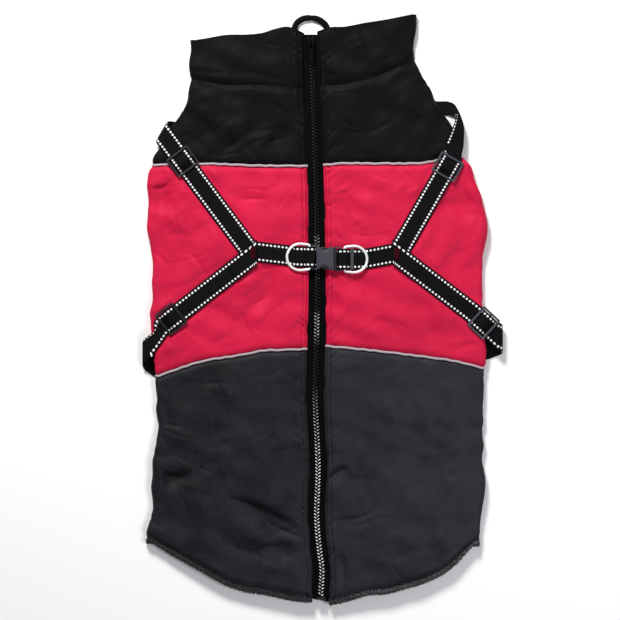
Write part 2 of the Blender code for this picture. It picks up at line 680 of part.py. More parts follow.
def make_hang_loop():
    """A short arch of cord that stands out behind the collar, sewn to the collar's back."""
    keys = np.linspace(0.0, 1.0, len(LOOP_POINTS))
    t = np.linspace(0.0, 1.0, 19)
    x = smooth_line(keys, [p[0] for p in LOOP_POINTS])(t)
    y = smooth_line(keys, [p[1] for p in LOOP_POINTS])(t)
    y[0] = y[-1] = 276.0 + SEAM_GAP
    dx, dy = np.gradient(x), np.gradient(y)
    length = np.hypot(dx, dy)
    dx[0] = dx[-1] = 0.0
    nx, ny = dy / length, -dx / length
    rings = []
    for i in range(len(t)):
        ring = []
        for a in np.linspace(0.0, 2.0 * math.pi, 8, endpoint=False):
            out = LOOP_WIDTH / 2 * math.cos(a)
            ring.append((x[i] + nx[i] * out, y[i] + (ny[i] * out if 0 < i < len(t) - 1 else 0.0),
                         LOOP_HEIGHT + LOOP_THICK / 2 * math.sin(a)))
        rings.append(ring)
    tube("hang_loop", rings, WEBBING)


# ---------------------------------------------------------------- harness webbing
WEB_COLUMNS = (1.0, 1.0 / 3.0, -1.0 / 3.0, -1.0)     # places across the webbing, in half widths


def webbing(name, columns):
    """Webbing of even thickness through columns of middle points, from one edge to the other."""
    grid = np.stack(columns, axis=1)
    normal = np.cross(np.gradient(grid, axis=1), np.gradient(grid, axis=0))
    normal /= np.linalg.norm(normal, axis=2)[:, :, None]
    half = normal * WEB_THICK / 2
    return wall(name, grid + half, grid - half, WEBBING)


def plan_route(points, step=6.0):
    """Even points along straight stretches, with their directions and distances."""
    spots, ways, dists = [], [], []
    gone = 0.0
    for (x0, y0), (x1, y1) in zip(points, points[1:]):
        length = math.hypot(x1 - x0, y1 - y0)
        count = max(2, round(length / step))
        for k in range(count):
            spots.append((x0 + (x1 - x0) * k / count, y0 + (y1 - y0) * k / count))
            ways.append(((x1 - x0) / length, (y1 - y0) / length))
            dists.append(gone + length * k / count)
        gone += length
    spots.append(points[-1])
    ways.append(ways[-1])
    dists.append(gone)
    return np.array(spots), np.array(ways), np.array(dists)


def glide_rise(dist, at):
    """Climb of the webbing over an adjuster's middle bar."""
    off = np.abs(dist - at)
    return GLIDE_RISE * np.clip((8.2 - off) / 6.2, 0.0, 1.0)


def insert_stations(dists, at):
    """Distances with extra stations where the webbing bends at an adjuster."""
    extra = [at + d for d in (-11.5, -8.2, -2.0, 2.0, 8.2, 11.5)]
    kept = [d for d in dists if abs(d - at) > 12.5]
    return np.array(sorted(kept + extra))


def curled(place, past, curl):
    """A place across the webbing once its outer edge has curled in past the adjuster."""
    share = curl if place < 0.0 else 0.0
    return place * (1.0 - share * ease((past - CURL_START) / CURL_RAMP))


def web_columns(points, glide_at, lift=0.0, end_cut=None, places=WEB_COLUMNS, curl=0.0):
    """Columns of points of webbing that lies on the coat along a route."""
    spots, ways, dists = plan_route(points)
    if glide_at is not None:
        total = dists[-1]
        gone = distance_to(points, glide_at)
        new = insert_stations(dists, gone)
        new = new[(new >= 0.0) & (new <= total)]
        spots = np.stack([np.interp(new, dists, spots[:, k]) for k in (0, 1)], -1)
        ways = np.stack([np.interp(new, dists, ways[:, k]) for k in (0, 1)], -1)
        ways /= np.linalg.norm(ways, axis=1)[:, None]
        dists = new
    side = np.stack([-ways[:, 1], ways[:, 0]], -1) * WEB_WIDTH / 2
    columns = []
    for place in places:
        plan = spots + curled(place, dists - gone, curl)[:, None] * side
        if end_cut is not None:
            plan[0, 1] -= (plan[0, 0] - end_cut) * ways[0, 1] / ways[0, 0]
            plan[0, 0] = end_cut
        height = crown(plan[:, 0], plan[:, 1]) + WEB_MID
        if glide_at is not None:
            height = height + glide_rise(dists, gone)
        if lift:
            height = height + lift * np.clip((LIFT_LENGTH + LIFT_RAMP - dists) / LIFT_RAMP, 0.0, 1.0)
        columns.append(np.column_stack([plan, height]))
    return columns


def distance_to(points, target):
    """How far along a route its point nearest to the target lies."""
    best, found, gone = 1e9, 0.0, 0.0
    for (x0, y0), (x1, y1) in zip(points, points[1:]):
        length = math.hypot(x1 - x0, y1 - y0)
        t = ((target[0] - x0) * (x1 - x0) + (target[1] - y0) * (y1 - y0)) / length ** 2
        t = min(1.0, max(0.0, t))
        off = math.hypot(x0 + (x1 - x0) * t - target[0], y0 + (y1 - y0) * t - target[1])
        if off < best:
            best, found = off, gone + t * length
        gone += length
    return found


def wrap_lead(key, way):
    """How far before its last route point a slanting strap has to start its turn."""
    return abs(float(np.dot(way, WRAP_EDGE[key]))) * WEB_WIDTH / 2 + 0.5


def wrap_columns(key, start, way, top):
    """Columns of webbing that turns round the coat's side on a half ellipse and runs under it."""
    level, side = key
    edge = np.array(WRAP_EDGE[key])
    out = np.array((edge[1], -edge[0])) * side * -1.0
    forward, along = float(np.dot(way, out)), float(np.dot(way, edge))
    reach = WRAP_REACH[key]
    tall = (top - WRAP_LOW) / 2
    turn_length = math.pi * math.sqrt((reach ** 2 + tall ** 2) / 2)
    travel = np.linspace(-wrap_lead(key, way), turn_length + WRAP_UNDER[key], 15)
    past = travel + math.hypot(start[0] - GLIDE_AT[key][0], start[1] - GLIDE_AT[key][1])
    columns = []
    for place in WEB_COLUMNS:
        shift = curled(place, past, CURL.get(key, 0.0)) * WEB_WIDTH / 2 * side
        s = travel + shift * along
        t = (travel - (1.0 - UNDER_SLANT[key]) * np.maximum(s, 0.0)) * along / forward - shift * forward
        angle = np.clip(s / turn_length, 0.0, 1.0) * math.pi
        plan_out = np.where(s < 0.0, s, np.where(s > turn_length, turn_length - s, reach * np.sin(angle)))
        plan = np.array(start)[None, :] + t[:, None] * edge[None, :] + plan_out[:, None] * out[None, :]
        on_coat = crown(plan[:, 0], plan[:, 1]) + WEB_MID
        height = np.where(s < 0.0, on_coat, WRAP_LOW + tall + tall * np.cos(angle))
        columns.append(np.column_stack([plan, height]))
    return columns


def make_wrapped_strap(level, side, word):
    """An upper or lower strap: from the junction over the coat, round its side and under it."""
    key = (level, side)
    route = (UPPER_ROUTE if level == "upper" else LOWER_ROUTE)[side]
    lift = LAYER_STEP if level == "lower" else 0.0
    cut = route[0][0] if level == "lower" else None
    way = np.array(route[-1]) - np.array(route[-2])
    way /= np.linalg.norm(way)
    flat_end = tuple(np.array(route[-1]) - way * wrap_lead(key, way))
    flat = web_columns(route[:-1] + (flat_end,), GLIDE_AT[key], lift, cut, curl=CURL.get(key, 0.0))
    turned = wrap_columns(key, route[-1], way, SIDE_HEIGHT + WEB_MID)
    webbing(f"strap_{level}_{word}", [np.concatenate([a[:-1], b]) for a, b in zip(flat, turned)])


def make_twisted_strap():
    """The right upper strap, which twists over the shoulder and turns back under the yoke."""
    route = UPPER_ROUTE[1] + ((137.0, 156.0),)
    left, right = web_columns(route, GLIDE_AT[("upper", 1)], places=(1.0, -1.0))
    left = np.concatenate([left[:-1], [(row.lx, row.ly, row.lz) for row in TWIST_ROWS]])
    right = np.concatenate([right[:-1], [(row.rx, row.ry, row.rz) for row in TWIST_ROWS]])
    webbing("strap_upper_right", [left, right])


BAR_HEIGHT = WEB_MID + 2.45      # middle of the buckle's end bars above the crown
TURN_RADIUS = 2.45
RING_BAR_X = {-1: -8.5, 1: 26.5}
BUCKLE_BAR_X = {-1: -5.0, 1: 21.9}
TAIL_END_X = {-1: -22.0, 1: 39.5}


def middle_y(side, x):
    """Height up the coat of a middle strap's centre line."""
    route = sorted(MIDDLE_ROUTE[side])
    return np.interp(x, [p[0] for p in route], [p[1] for p in route])


def make_middle_strap(side, word):
    """A middle strap: along the coat, round the buckle's bar and back over the ring's bar."""
    start = MIDDLE_ROUTE[side][0][0]
    bar = BUCKLE_BAR_X[side]
    ring = RING_BAR_X[side]
    tail = TAIL_END_X[side]
    low = WEB_MID
    high = WEB_MID + 2 * TURN_RADIUS
    rest = WEB_MID + LAYER_STEP
    x = list(np.linspace(start, bar, 9))
    z = [low] * 9
    for angle in np.radians(np.linspace(-90.0, 90.0, 7))[1:]:
        x.append(bar - side * TURN_RADIUS * math.cos(angle))
        z.append(WEB_MID + TURN_RADIUS + TURN_RADIUS * math.sin(angle))
    stations = ((ring + side * 1.0, high), (ring + side * 3.4, high - 1.8), (ring + side * 5.6, rest))
    for place, height in stations:
        x.append(place)
        z.append(height)
    x.append(tail)
    z.append(rest)
    x, z = np.array(x), np.array(z)
    centre = middle_y(side, x)
    base = crown(x, centre)
    columns = [np.column_stack([x, centre + sign * WEB_WIDTH / 2, base + z]) for sign in (1, -1)]
    webbing(f"strap_middle_{word}", columns)


def make_straps():
    """All six stretches of webbing."""
    make_wrapped_strap("upper", -1, "left")
    make_wrapped_strap("lower", -1, "left")
    make_wrapped_strap("lower", 1, "right")
    make_twisted_strap()
    make_middle_strap(-1, "left")
    make_middle_strap(1, "right")


# ---------------------------------------------------------------- hardware
def placed(points, origin, x_axis, y_axis, z_axis):
    """Local points carried to a place with three axes."""
    frame = np.array([x_axis, y_axis, z_axis])
    return np.asarray(points) @ frame + np.asarray(origin)


def way_at(route, target):
    """Direction of a route where it passes a point."""
    gone = distance_to(route, target)
    spots, _, dists = plan_route(route)
    ends = [np.array([np.interp(gone + d, dists, spots[:, k]) for k in (0, 1)]) for d in (-4.0, 4.0)]
    way = ends[1] - ends[0]
    return way / np.linalg.norm(way)


def make_glide(level, side, word):
    """An adjuster: two side rails, two outer bars over the webbing and a middle bar under it."""
    key = (level, side)
    route = (UPPER_ROUTE if level == "upper" else LOWER_ROUTE)[side]
    centre = np.array(GLIDE_AT[key])
    way = way_at(route, GLIDE_AT[key])
    cross = np.array((-way[1], way[0]))
    reach = GLIDE_LENGTH / 2
    ahead, behind = centre + way * reach, centre - way * reach
    z_ahead, z_behind = float(crown(*ahead)), float(crown(*behind))
    x_axis = np.array([*(ahead - behind), z_ahead - z_behind])
    x_axis /= np.linalg.norm(x_axis)
    tilt = float(crown(*(centre + cross * 10.0)) - crown(*(centre - cross * 10.0))) / 20.0
    y_axis = np.array([*cross, tilt])
    y_axis /= np.linalg.norm(y_axis)
    z_axis = np.cross(x_axis, y_axis)
    origin = (centre[0], centre[1], (z_ahead + z_behind) / 2)
    rail = GLIDE_WIDTH / 2
    xs = (-reach, -reach + GLIDE_BAR, -1.2, 1.2, reach - GLIDE_BAR, reach)
    ys = (-rail, -rail + GLIDE_BAR, rail - GLIDE_BAR, rail)
    low = WEB_TOP + SEAM_GAP
    points, faces = slotted_plate(xs, ys, ((1, 1), (3, 1)), low, low + GLIDE_THICK)
    add_piece(f"glide_{level}_{word}", placed(points, origin, x_axis, y_axis, z_axis), faces,
              BLACK_PLASTIC, round_shading=False)


def slotted_plate(xs, ys, slots, low, high):
    """Points and faces of a plate on a grid of cells, with some cells left open."""
    index = {}
    points = []
    faces = []

    def corner(i, j, top):
        if (i, j, top) not in index:
            index[(i, j, top)] = len(points)
            points.append((xs[i], ys[j], high if top else low))
        return index[(i, j, top)]

    filled = {(i, j) for i in range(len(xs) - 1) for j in range(len(ys) - 1)} - set(slots)
    for i, j in sorted(filled):
        loop = ((i, j), (i + 1, j), (i + 1, j + 1), (i, j + 1))
        faces.append([corner(*c, True) for c in loop])
        faces.append([corner(*c, False) for c in reversed(loop)])
        for k, step in enumerate(((0, -1), (1, 0), (0, 1), (-1, 0))):
            if (i + step[0], j + step[1]) not in filled:
                a, b = loop[k], loop[(k + 1) % 4]
                faces.append([corner(*a, False), corner(*b, False), corner(*b, True), corner(*a, True)])
    return points, faces


def ring_path(side):
    """Middle line of a D-ring's wire: a straight bar, two arms and a round end."""
    end = RING_LENGTH - RING_HALF
    points = [(0.0, -RING_BAR_HALF + 1.5), (0.0, RING_BAR_HALF - 1.5)]
    points += [(0.5, RING_BAR_HALF - 0.4), (1.6, RING_BAR_HALF)]
    points += [(end, RING_HALF)]
    for angle in np.radians(np.linspace(75.0, -75.0, 11)):
        points.append((end + RING_HALF * math.cos(angle), RING_HALF * math.sin(angle)))
    points += [(end, -RING_HALF), (1.6, -RING_BAR_HALF), (0.5, -RING_BAR_HALF + 0.4)]
    return np.array([(side * x, y) for x, y in points])


def make_ring(side, word):
    """A D-ring that lies on the webbing, its origin on the axis of its straight bar."""
    x0 = RING_BAR_X[side]
    y0 = float(middle_y(side, x0))
    z0 = float(crown(x0, y0)) + RING_HEIGHT
    path = ring_path(side)
    ahead = np.roll(path, -1, axis=0) - np.roll(path, 1, axis=0)
    ahead /= np.linalg.norm(ahead, axis=1)[:, None]
    out = np.stack([ahead[:, 1], -ahead[:, 0]], -1)
    rings = []
    for point, normal in zip(path, out):
        ring = []
        for a in np.linspace(0.0, 2.0 * math.pi, 8, endpoint=False):
            reach = RING_WIRE * math.cos(a)
            ring.append((x0 + point[0] + normal[0] * reach, y0 + point[1] + normal[1] * reach,
                         z0 + RING_WIRE * math.sin(a)))
        rings.append(ring)
    piece = tube(f"ring_{word}", rings, BRIGHT_METAL, closed=True)
    set_origin(piece, (x0, y0, z0))


BUCKLE_HALF = 11.6
BUCKLE_LOW = 1.6
BUCKLE_HIGH = 8.4
BUCKLE_ENDS = (-1.5, 18.4)
BUCKLE_SPLIT = 16.2
NOTCH_RADIUS = 5.7
NOTCH_X = 6.2
NOTCH_DEPTH = 3.6
BUCKLE_SLOPE = -0.078
BUCKLE_Y = 51.75


def buckle_outline():
    """Half outline of the socket: straight ends and a round finger notch on each side."""
    rise = NOTCH_RADIUS - NOTCH_DEPTH
    half_chord = math.sqrt(NOTCH_RADIUS ** 2 - rise ** 2)
    start = math.asin(rise / NOTCH_RADIUS)
    points = [(BUCKLE_ENDS[0], BUCKLE_HALF - 1.6), (BUCKLE_ENDS[0] + 1.4, BUCKLE_HALF)]
    points.append((NOTCH_X - half_chord, BUCKLE_HALF))
    for angle in np.linspace(math.pi + start, 2.0 * math.pi - start, 7)[1:-1]:
        reach_x, reach_y = NOTCH_RADIUS * math.cos(angle), NOTCH_RADIUS * math.sin(angle)
        points.append((NOTCH_X + reach_x, BUCKLE_HALF + rise + reach_y))
    points += [(NOTCH_X + half_chord, BUCKLE_HALF), (BUCKLE_SPLIT - SEAM_GAP, BUCKLE_HALF)]
    return points


def buckle_place(points):
    """Carry buckle points onto the coat, tilted a little like the webbing."""
    middle = (BUCKLE_ENDS[0] + BUCKLE_ENDS[1]) / 2
    base = float(crown(middle, BUCKLE_Y))
    return [(x, y + BUCKLE_Y + (x - middle) * BUCKLE_SLOPE, z + base) for x, y, z in points]


def plate(name, outline, low, high):
    """A flat piece of the buckle with the given outline."""
    count = len(outline)
    points = [(x, y, low) for x, y in outline] + [(x, y, high) for x, y in outline]
    faces = [list(range(count)), list(range(count, 2 * count))]
    faces += [[i, (i + 1) % count, (i + 1) % count + count, i + count] for i in range(count)]
    return add_piece(name, buckle_place(points), faces, BUCKLE_PLASTIC, round_shading=False)


def end_bar(side):
    """The bar at a buckle end and the two lugs that carry it."""
    x = BUCKLE_BAR_X[side]
    body = BUCKLE_ENDS[0] if side < 0 else BUCKLE_ENDS[1]
    near, far = (x - 1.1, body + 1.0) if side < 0 else (body - 1.0, x + 1.1)
    pieces = []
    for sign in (-1, 1):
        a, b = sorted((sign * (WEB_WIDTH / 2 + 0.6), sign * (WEB_WIDTH / 2 + 1.9)))
        points, faces = block((near, a, BAR_HEIGHT - 1.3), (far, b, BAR_HEIGHT + 0.9))
        pieces.append(add_piece(f"lug_{sign}", buckle_place(points), faces, BUCKLE_PLASTIC))
    reach = WEB_WIDTH / 2 + 1.2
    turn = np.linspace(0.0, 2.0 * math.pi, 8, endpoint=False)
    circle = [(x + 1.1 * math.cos(a), BAR_HEIGHT + 1.1 * math.sin(a)) for a in turn]
    rings = [[(px, y, pz) for px, pz in circle] for y in (-reach, reach)]
    rings = [buckle_place(ring) for ring in rings]
    pieces.append(tube("end_bar", rings, BUCKLE_PLASTIC))
    return pieces


def make_buckle():
    """The side-release buckle: socket on the left, plug with its prongs on the right."""
    half = buckle_outline()
    outline = half + [(x, -y) for x, y in reversed(half)]
    socket = plate("buckle_socket", outline, BUCKLE_LOW, BUCKLE_HIGH)
    combine(socket, end_bar(-1), "UNION")
    end = BUCKLE_ENDS[1]
    box = [(BUCKLE_SPLIT, BUCKLE_HALF), (end - 1.2, BUCKLE_HALF), (end, BUCKLE_HALF - 1.2)]
    plug = plate("buckle_plug", box + [(x, -y) for x, y in reversed(box)], BUCKLE_LOW, BUCKLE_HIGH)
    combine(plug, end_bar(1), "UNION")


def make_slide_bar():
    """The slide bar that lies across the doubled right webbing."""
    x0, x1 = 32.4, 35.8
    middle = (x0 + x1) / 2
    y0 = float(middle_y(1, middle))
    low = float(crown(middle, y0)) + WEB_TOP + LAYER_STEP + SEAM_GAP + 0.2
    points, faces = block((x0, y0 - 10.6, low), (x1, y0 + 10.6, low + 1.9))
    add_piece("slide_bar", points, faces, BUCKLE_PLASTIC, round_shading=False)


def make_hardware():
    """Adjusters, rings, buckle and slide bar."""
    for side, word in ((-1, "left"), (1, "right")):
        for level in ("upper", "lower"):
            make_glide(level, side, word)
        make_ring(side, word)
    make_buckle()
    make_slide_bar()


def main():
    """Build the coat."""
    clear_scene()
    make_fronts()
    make_belly()
    make_collar_back()
    make_piping()
    make_zip()
    make_hang_loop()
    make_straps()
    make_hardware()


main()
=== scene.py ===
import math
from collections import namedtuple

import bpy
import numpy as np
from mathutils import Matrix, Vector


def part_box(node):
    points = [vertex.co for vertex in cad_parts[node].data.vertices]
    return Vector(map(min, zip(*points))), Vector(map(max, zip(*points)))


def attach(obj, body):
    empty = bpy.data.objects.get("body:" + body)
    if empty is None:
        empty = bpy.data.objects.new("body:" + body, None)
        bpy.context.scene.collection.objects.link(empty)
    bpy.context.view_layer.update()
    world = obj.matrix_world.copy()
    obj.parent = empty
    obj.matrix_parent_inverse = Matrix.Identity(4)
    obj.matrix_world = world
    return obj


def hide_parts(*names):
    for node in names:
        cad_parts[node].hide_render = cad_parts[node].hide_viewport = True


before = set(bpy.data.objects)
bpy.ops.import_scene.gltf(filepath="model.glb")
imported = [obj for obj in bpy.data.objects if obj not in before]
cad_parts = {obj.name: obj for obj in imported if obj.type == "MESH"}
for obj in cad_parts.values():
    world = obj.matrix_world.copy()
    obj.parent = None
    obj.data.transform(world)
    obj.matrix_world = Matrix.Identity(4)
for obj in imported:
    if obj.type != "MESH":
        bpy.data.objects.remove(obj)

bl_info = {
    "name": "Dog coat",
    "version": (1, 0, 0),
    "blender": (4, 5, 0),
    "location": "View3D > Sidebar > Dog coat",
    "description": "Padded zip-up dog coat with a webbing harness, laid flat",
    "category": "Object",
}

MM = 0.001
WORD = {-1: "left", 1: "right"}     # a side's name, seen from above

# ---------------------------------------------------------------- the coat's sizes, in millimetres
SIDE_HEIGHT = 11.0      # height of the laid coat at its side folds
CROWN = 2.4             # how much higher its middle stands
LINING_HEIGHT = 6.5     # underside of the upper layer
WALL = 4.5              # belly panel's thickness
FOLD_RADIUS = SIDE_HEIGHT / 2
LINING_RADIUS = FOLD_RADIUS - WALL
UNDER_WIDTH = 26.0      # how far the fronts run under the coat
SEAM_GAP = 0.3
SEAM_DIP = 2.4
SEAM_REACH = 4.0
ZIP_DIP = 3.2
ZIP_REACH = 3.0
ZIP_TOP = 274.0
ZIP_BOTTOM = -287.0
TAPE_HEIGHT = 9.0
TAPE_THICK = 0.8
CHAIN_HEIGHT = 10.0
PIPING_WIDTH = 3.2
PIPING_THICK = 1.5
PIPING_CLEAR = 0.35
WEB_WIDTH = 20.7
WEB_THICK = 1.4
WEB_CLEAR = 0.5
WEB_MID = WEB_CLEAR + WEB_THICK / 2
WEB_TOP = WEB_CLEAR + WEB_THICK
LAYER_STEP = WEB_THICK + SEAM_GAP
WRAP_LOW = 0.9
WEB_TROUGH = 2.6
GLIDE_LENGTH = 22.0
GLIDE_WIDTH = 26.0
GLIDE_BAR = 2.2
GLIDE_THICK = 1.7
GLIDE_RISE = WEB_THICK + 2 * SEAM_GAP + GLIDE_THICK
RING_WIRE = 1.35
RING_HALF = 13.2
RING_BAR_HALF = 12.3
RING_LENGTH = 22.5
RING_HEIGHT = WEB_TOP + 0.45 + RING_WIRE
HEM_BAND = 5.5
HEM_CUT_LEAST = 0.0105  # least width stated for the hem's cut, in metres; its grid is narrower
TOPSTITCH = 5.4         # from the padded edge beside the zip to its row of stitches
STITCH_PITCH = 3.3
TOOTH_PITCH = 3.3       # of one row of the zip's teeth
TOOTH_SIZE = (1.3, 0.56, 0.7)       # half its length, width and height
STITCH_SIZE = (1.15, 0.28, 0.22)    # half its length, width and height
UNDER_SHARE = 0.74      # share across a half at which the side seam underneath lies
WEB_PRESS = 9.5         # from the webbing's middle, where the wadding starts to rise again
WEB_PRESS_RAMP = 9.0
NAP_HAIRS = 5200        # on each side of the hem
SHARP_ANGLE = 48.0      # edges that turn more than this many degrees stay sharp

Section = namedtuple("Section", "y left right")
SECTIONS = tuple(Section(*row) for row in (
    (-240, -169, 160), (-230, -171.5, 162.5), (-220, -171, 163.8), (-200, -166.3, 164),
    (-182, -163.8, 165.8), (-166, -162.5, 167), (-150, -165, 165), (-132, -162, 166), (-92, -162, 166),
    (-72, -164, 165.5), (-54, -165.5, 169.5), (-30, -167, 168.5), (0, -168, 166), (60, -168, 166),
    (100, -170.5, 166), (118, -171, 161), (134, -170, 155.5), (144, -168, 151.5), (152, -165.5, 145),
    (160, -160.5, 141.5), (170, -156, 138.5), (180, -151.5, 135.5), (190, -144, 132), (199, -137.5, 126),
    (209, -131, 117), (223, -129, 113), (237, -128.3, 104), (251, -128.5, 100), (266, -127.5, 97),
    (281, -127.5, 98), (297, -127.5, 100),
))

ZipRow = namedtuple("ZipRow", "y x half")
ZIP_ROWS = tuple(ZipRow(*row) for row in (
    (-296, 2.5, 8), (-280, 3, 8.5), (-262, 4, 8.5), (-237, 1, 8.5), (-210, -1.2, 8.5), (-163, 0, 8.5),
    (-75, -3, 9), (-40, -1.8, 9.2), (0, -1, 8.8), (124, -2, 8), (220, -5.2, 7.4), (290, -7.8, 6.2),
))

# Curves across each half, from the zip (0) to the side fold (1), with the height up the coat.
Cross = namedtuple("Cross", "share y")
COLLAR_TOP = {
    -1: ((0, 277), (0.15, 283.4), (0.27, 281.2), (0.38, 277.4), (0.5, 275.8), (0.73, 275.3), (0.92, 271.8),
         (1, 270.4)),
    1: ((0, 278.5), (0.13, 282.6), (0.28, 283.2), (0.5, 287.2), (0.79, 291.6), (1, 296)),
}
COLLAR_SEAM = {
    -1: ((0, 222), (0.12, 223), (0.4, 225), (0.78, 226), (1, 231)),
    1: ((0, 225), (0.15, 225), (0.42, 230), (0.75, 240), (1, 250)),
}
UPPER_SEAM = {
    -1: ((0, 144), (0.3, 144.3), (0.7, 146.2), (1, 145)),
    1: ((0, 145), (0.12, 146.4), (0.4, 146.5), (0.77, 148), (1, 155)),
}
LOWER_SEAM = {
    -1: ((0, -39), (0.16, -40), (0.28, -40.5), (0.44, -45), (0.72, -52), (0.86, -58.5), (1, -66)),
    1: ((0, -36), (0.27, -40), (0.54, -45), (0.88, -53), (1, -58)),
}
HEM_LINE = {
    -1: ((0, -292.5), (0.1, -291.5), (0.3, -285), (0.43, -282), (0.55, -275.5), (0.67, -265),
         (0.8, -253.5), (0.92, -242.5), (1, -233.5)),
    1: ((0, -295.5), (0.1, -292.8), (0.2, -288.5), (0.27, -285.5), (0.4, -284.3), (0.52, -279.5),
         (0.66, -273.5), (0.8, -264), (0.9, -252.5), (1, -236.5)),
}

# The largest folds, as in the solids.
Fold = namedtuple("Fold", "x0 y0 x1 y1 depth width")
FOLDS = tuple(Fold(*row) for row in (
    (-103, 156, -58, 188, 1.4, 8), (-57, 160, -30, 182, 1.2, 8), (27, 192, 4, 160, 1.4, 8),
    (-150, 132, -164, 98, 1.6, 9), (-80, -9, -43, 31, 1.6, 9), (125, 128, 152, 87, 1.4, 10),
    (49, 36, 63, -5, 1.2, 9), (-155, -168, -128, -164, 2, 8), (-90, -191, -21, -221, 1.8, 9),
    (-105, -237, -24, -243, 1.4, 13), (11, -171, 32, -158, 1.2, 8), (19, -209, 53, -199, 1.4, 8),
    (22, -245, 24, -274, 1.4, 8),
))

# Finer creases: a line in plan, how deep and wide its trough is, and how far it bows sideways.
Crease = namedtuple("Crease", "x0 y0 x1 y1 depth width bow")
CREASES = tuple(Crease(*row) for row in (
    (-158, -162, -126, -159, 5.2, 3.4, 6.5), (-92, -187, -18, -221, 3.8, 3.6, -4),
    (-58, -209, -16, -226, 2.2, 2.6, 2), (-102, -230, -56, -242, 1.9, 4.6, 3),
    (-66, -244, -22, -236, 1.9, 4.2, -4), (-136, -176, -100, -184, 0.9, 4.1, 4),
    (9, -172, 30, -157, 3.2, 2.8, -3), (14, -210, 56, -201, 2.8, 3, 3), (22, -240, 25, -278, 2, 2.2, -2.5),
    (62, -180, 112, -168, 0.8, 4.6, 4), (34, -136, 52, -110, 0.9, 3.7, 3),
    (84, -222, 128, -208, 0.8, 4.6, -4), (-150, -118, -156, -86, 1.2, 2.9, 3),
    (-146, -140, -158, -110, 0.9, 2.8, -3), (150, -150, 160, -120, 1.1, 3.7, 3),
    (146, -196, 160, -178, 1.1, 3.1, 2), (-46, -76, -14, -66, 1.1, 3.1, 2),
    (14, -66, 56, -60, 0.9, 3.3, -3), (-26, -268, -60, -262, 0.8, 2.8, 2),
    (40, -262, 76, -254, 0.8, 3.1, -2), (-112, 152, -62, 186, 1.9, 3.7, 4),
    (-84, 152, -52, 172, 1.4, 2.8, -3), (-58, 158, -36, 184, 1.7, 2.8, 2),
    (-128, 168, -100, 196, 0.9, 3.7, 3), (6, 152, 26, 170, 1.9, 2.4, -3), (12, 168, 34, 186, 1.1, 3.1, 3),
    (-20, 190, -16, 160, 0.9, 2.4, 1.5), (36, 206, 66, 218, 0.9, 4.1, 3), (88, 206, 110, 190, 0.9, 3.7, 3),
    (-104, 238, -62, 252, 0.9, 5.5, 4), (20, 246, 62, 262, 0.8, 5.5, -4), (74, 262, 92, 280, 0.8, 3.7, 2),
    (-52, 232, -30, 246, 0.8, 3.7, -2), (84, 244, 96, 262, 1.1, 2.8, 2),
    (-166, 120, -142, 134, 1.9, 2.8, 3), (-164, 98, -138, 122, 1.2, 3.3, -3),
    (-60, 118, -36, 132, 1.1, 3.7, 3), (-128, 78, -100, 96, 0.9, 4.2, 3),
    (-146, 22, -112, 42, 1.4, 3.7, 4), (-150, 4, -128, 16, 1.2, 2.8, 2), (-86, -14, -44, 28, 1.6, 3.7, 4),
    (-62, -22, -34, 8, 1.2, 3.1, -3), (-30, -24, -18, -6, 1.1, 2.2, 2), (-112, -34, -82, -18, 1.1, 3.7, 3),
    (28, 96, 40, 74, 1.6, 2.9, -3), (14, 84, 30, 68, 1.4, 2.2, 2), (48, 30, 60, -4, 1.4, 3.1, 3),
    (22, 20, 46, 34, 1.1, 2.8, -2), (16, -14, 34, 2, 1.2, 2.4, 2), (104, 112, 132, 116, 1.9, 2.4, -3),
    (112, 124, 136, 104, 1.4, 2.4, 3), (140, 138, 158, 104, 1.6, 3.3, 4), (96, 84, 120, 60, 0.8, 4.2, 4),
    (120, 40, 150, 60, 0.8, 4.6, -4), (84, -30, 122, -18, 0.8, 4.2, 3), (132, -40, 156, -30, 1.2, 3.1, 2),
))

Trough = namedtuple("Trough", "side low high")
TROUGHS = tuple(Trough(*row) for row in (
    (-1, 146, 190), (-1, -88, -36), (1, 186, 218), (1, -64, -18),
))
TROUGH_RAMP = 12.0
STRAYS = 420            # faint random creases over the whole coat

# ---------------------------------------------------------------- the harness's routes
UPPER_ROUTE = {-1: ((-69.8, 61.4), (-135.0, 148.5), (-152.8, 172.3)), 1: ((82.7, 61.5), (129.5, 143.0))}
LOWER_ROUTE = {-1: ((-61.0, 57.5), (-146.6, -9.0), (-157.7, -17.6), (-165.0, -28.0)),
               1: ((74.5, 58.0), (153.7, -2.2), (179.6, -26.0))}
MIDDLE_ROUTE = {-1: ((-59.8, 58.0), (-33.0, 54.8), (-22.0, 53.2), (-4.6, 52.8)),
                1: ((73.0, 55.6), (49.5, 51.2), (38.0, 50.7), (20.6, 50.7))}
ROUTES = {"upper": UPPER_ROUTE, "lower": LOWER_ROUTE}

# How a strap turns round the side: how far out, how far under, its slant there, how much its outer
# edge curls in, and the direction of the side's edge.
Wrap = namedtuple("Wrap", "reach under slant curl edge")
WRAPS = {
    ("upper", -1): Wrap(6.2, 16.0, 1.0, 0.0, (-0.505, -0.863)),
    ("lower", -1): Wrap(10.3, 13.0, 0.54, 0.7, (0.0, -1.0)),
    ("lower", 1): Wrap(4.9, 27.0, 0.4, 0.0, (0.0, -1.0)),
}
CURL_START = 9.0
CURL_RAMP = 16.0
GLIDE_AT = {("upper", -1): (-135.0, 148.5), ("upper", 1): (129.5, 143.0),
            ("lower", -1): (-146.6, -9.0), ("lower", 1): (165.5, -13.0)}
LIFT_LENGTH = 28.0
LIFT_RAMP = 8.0

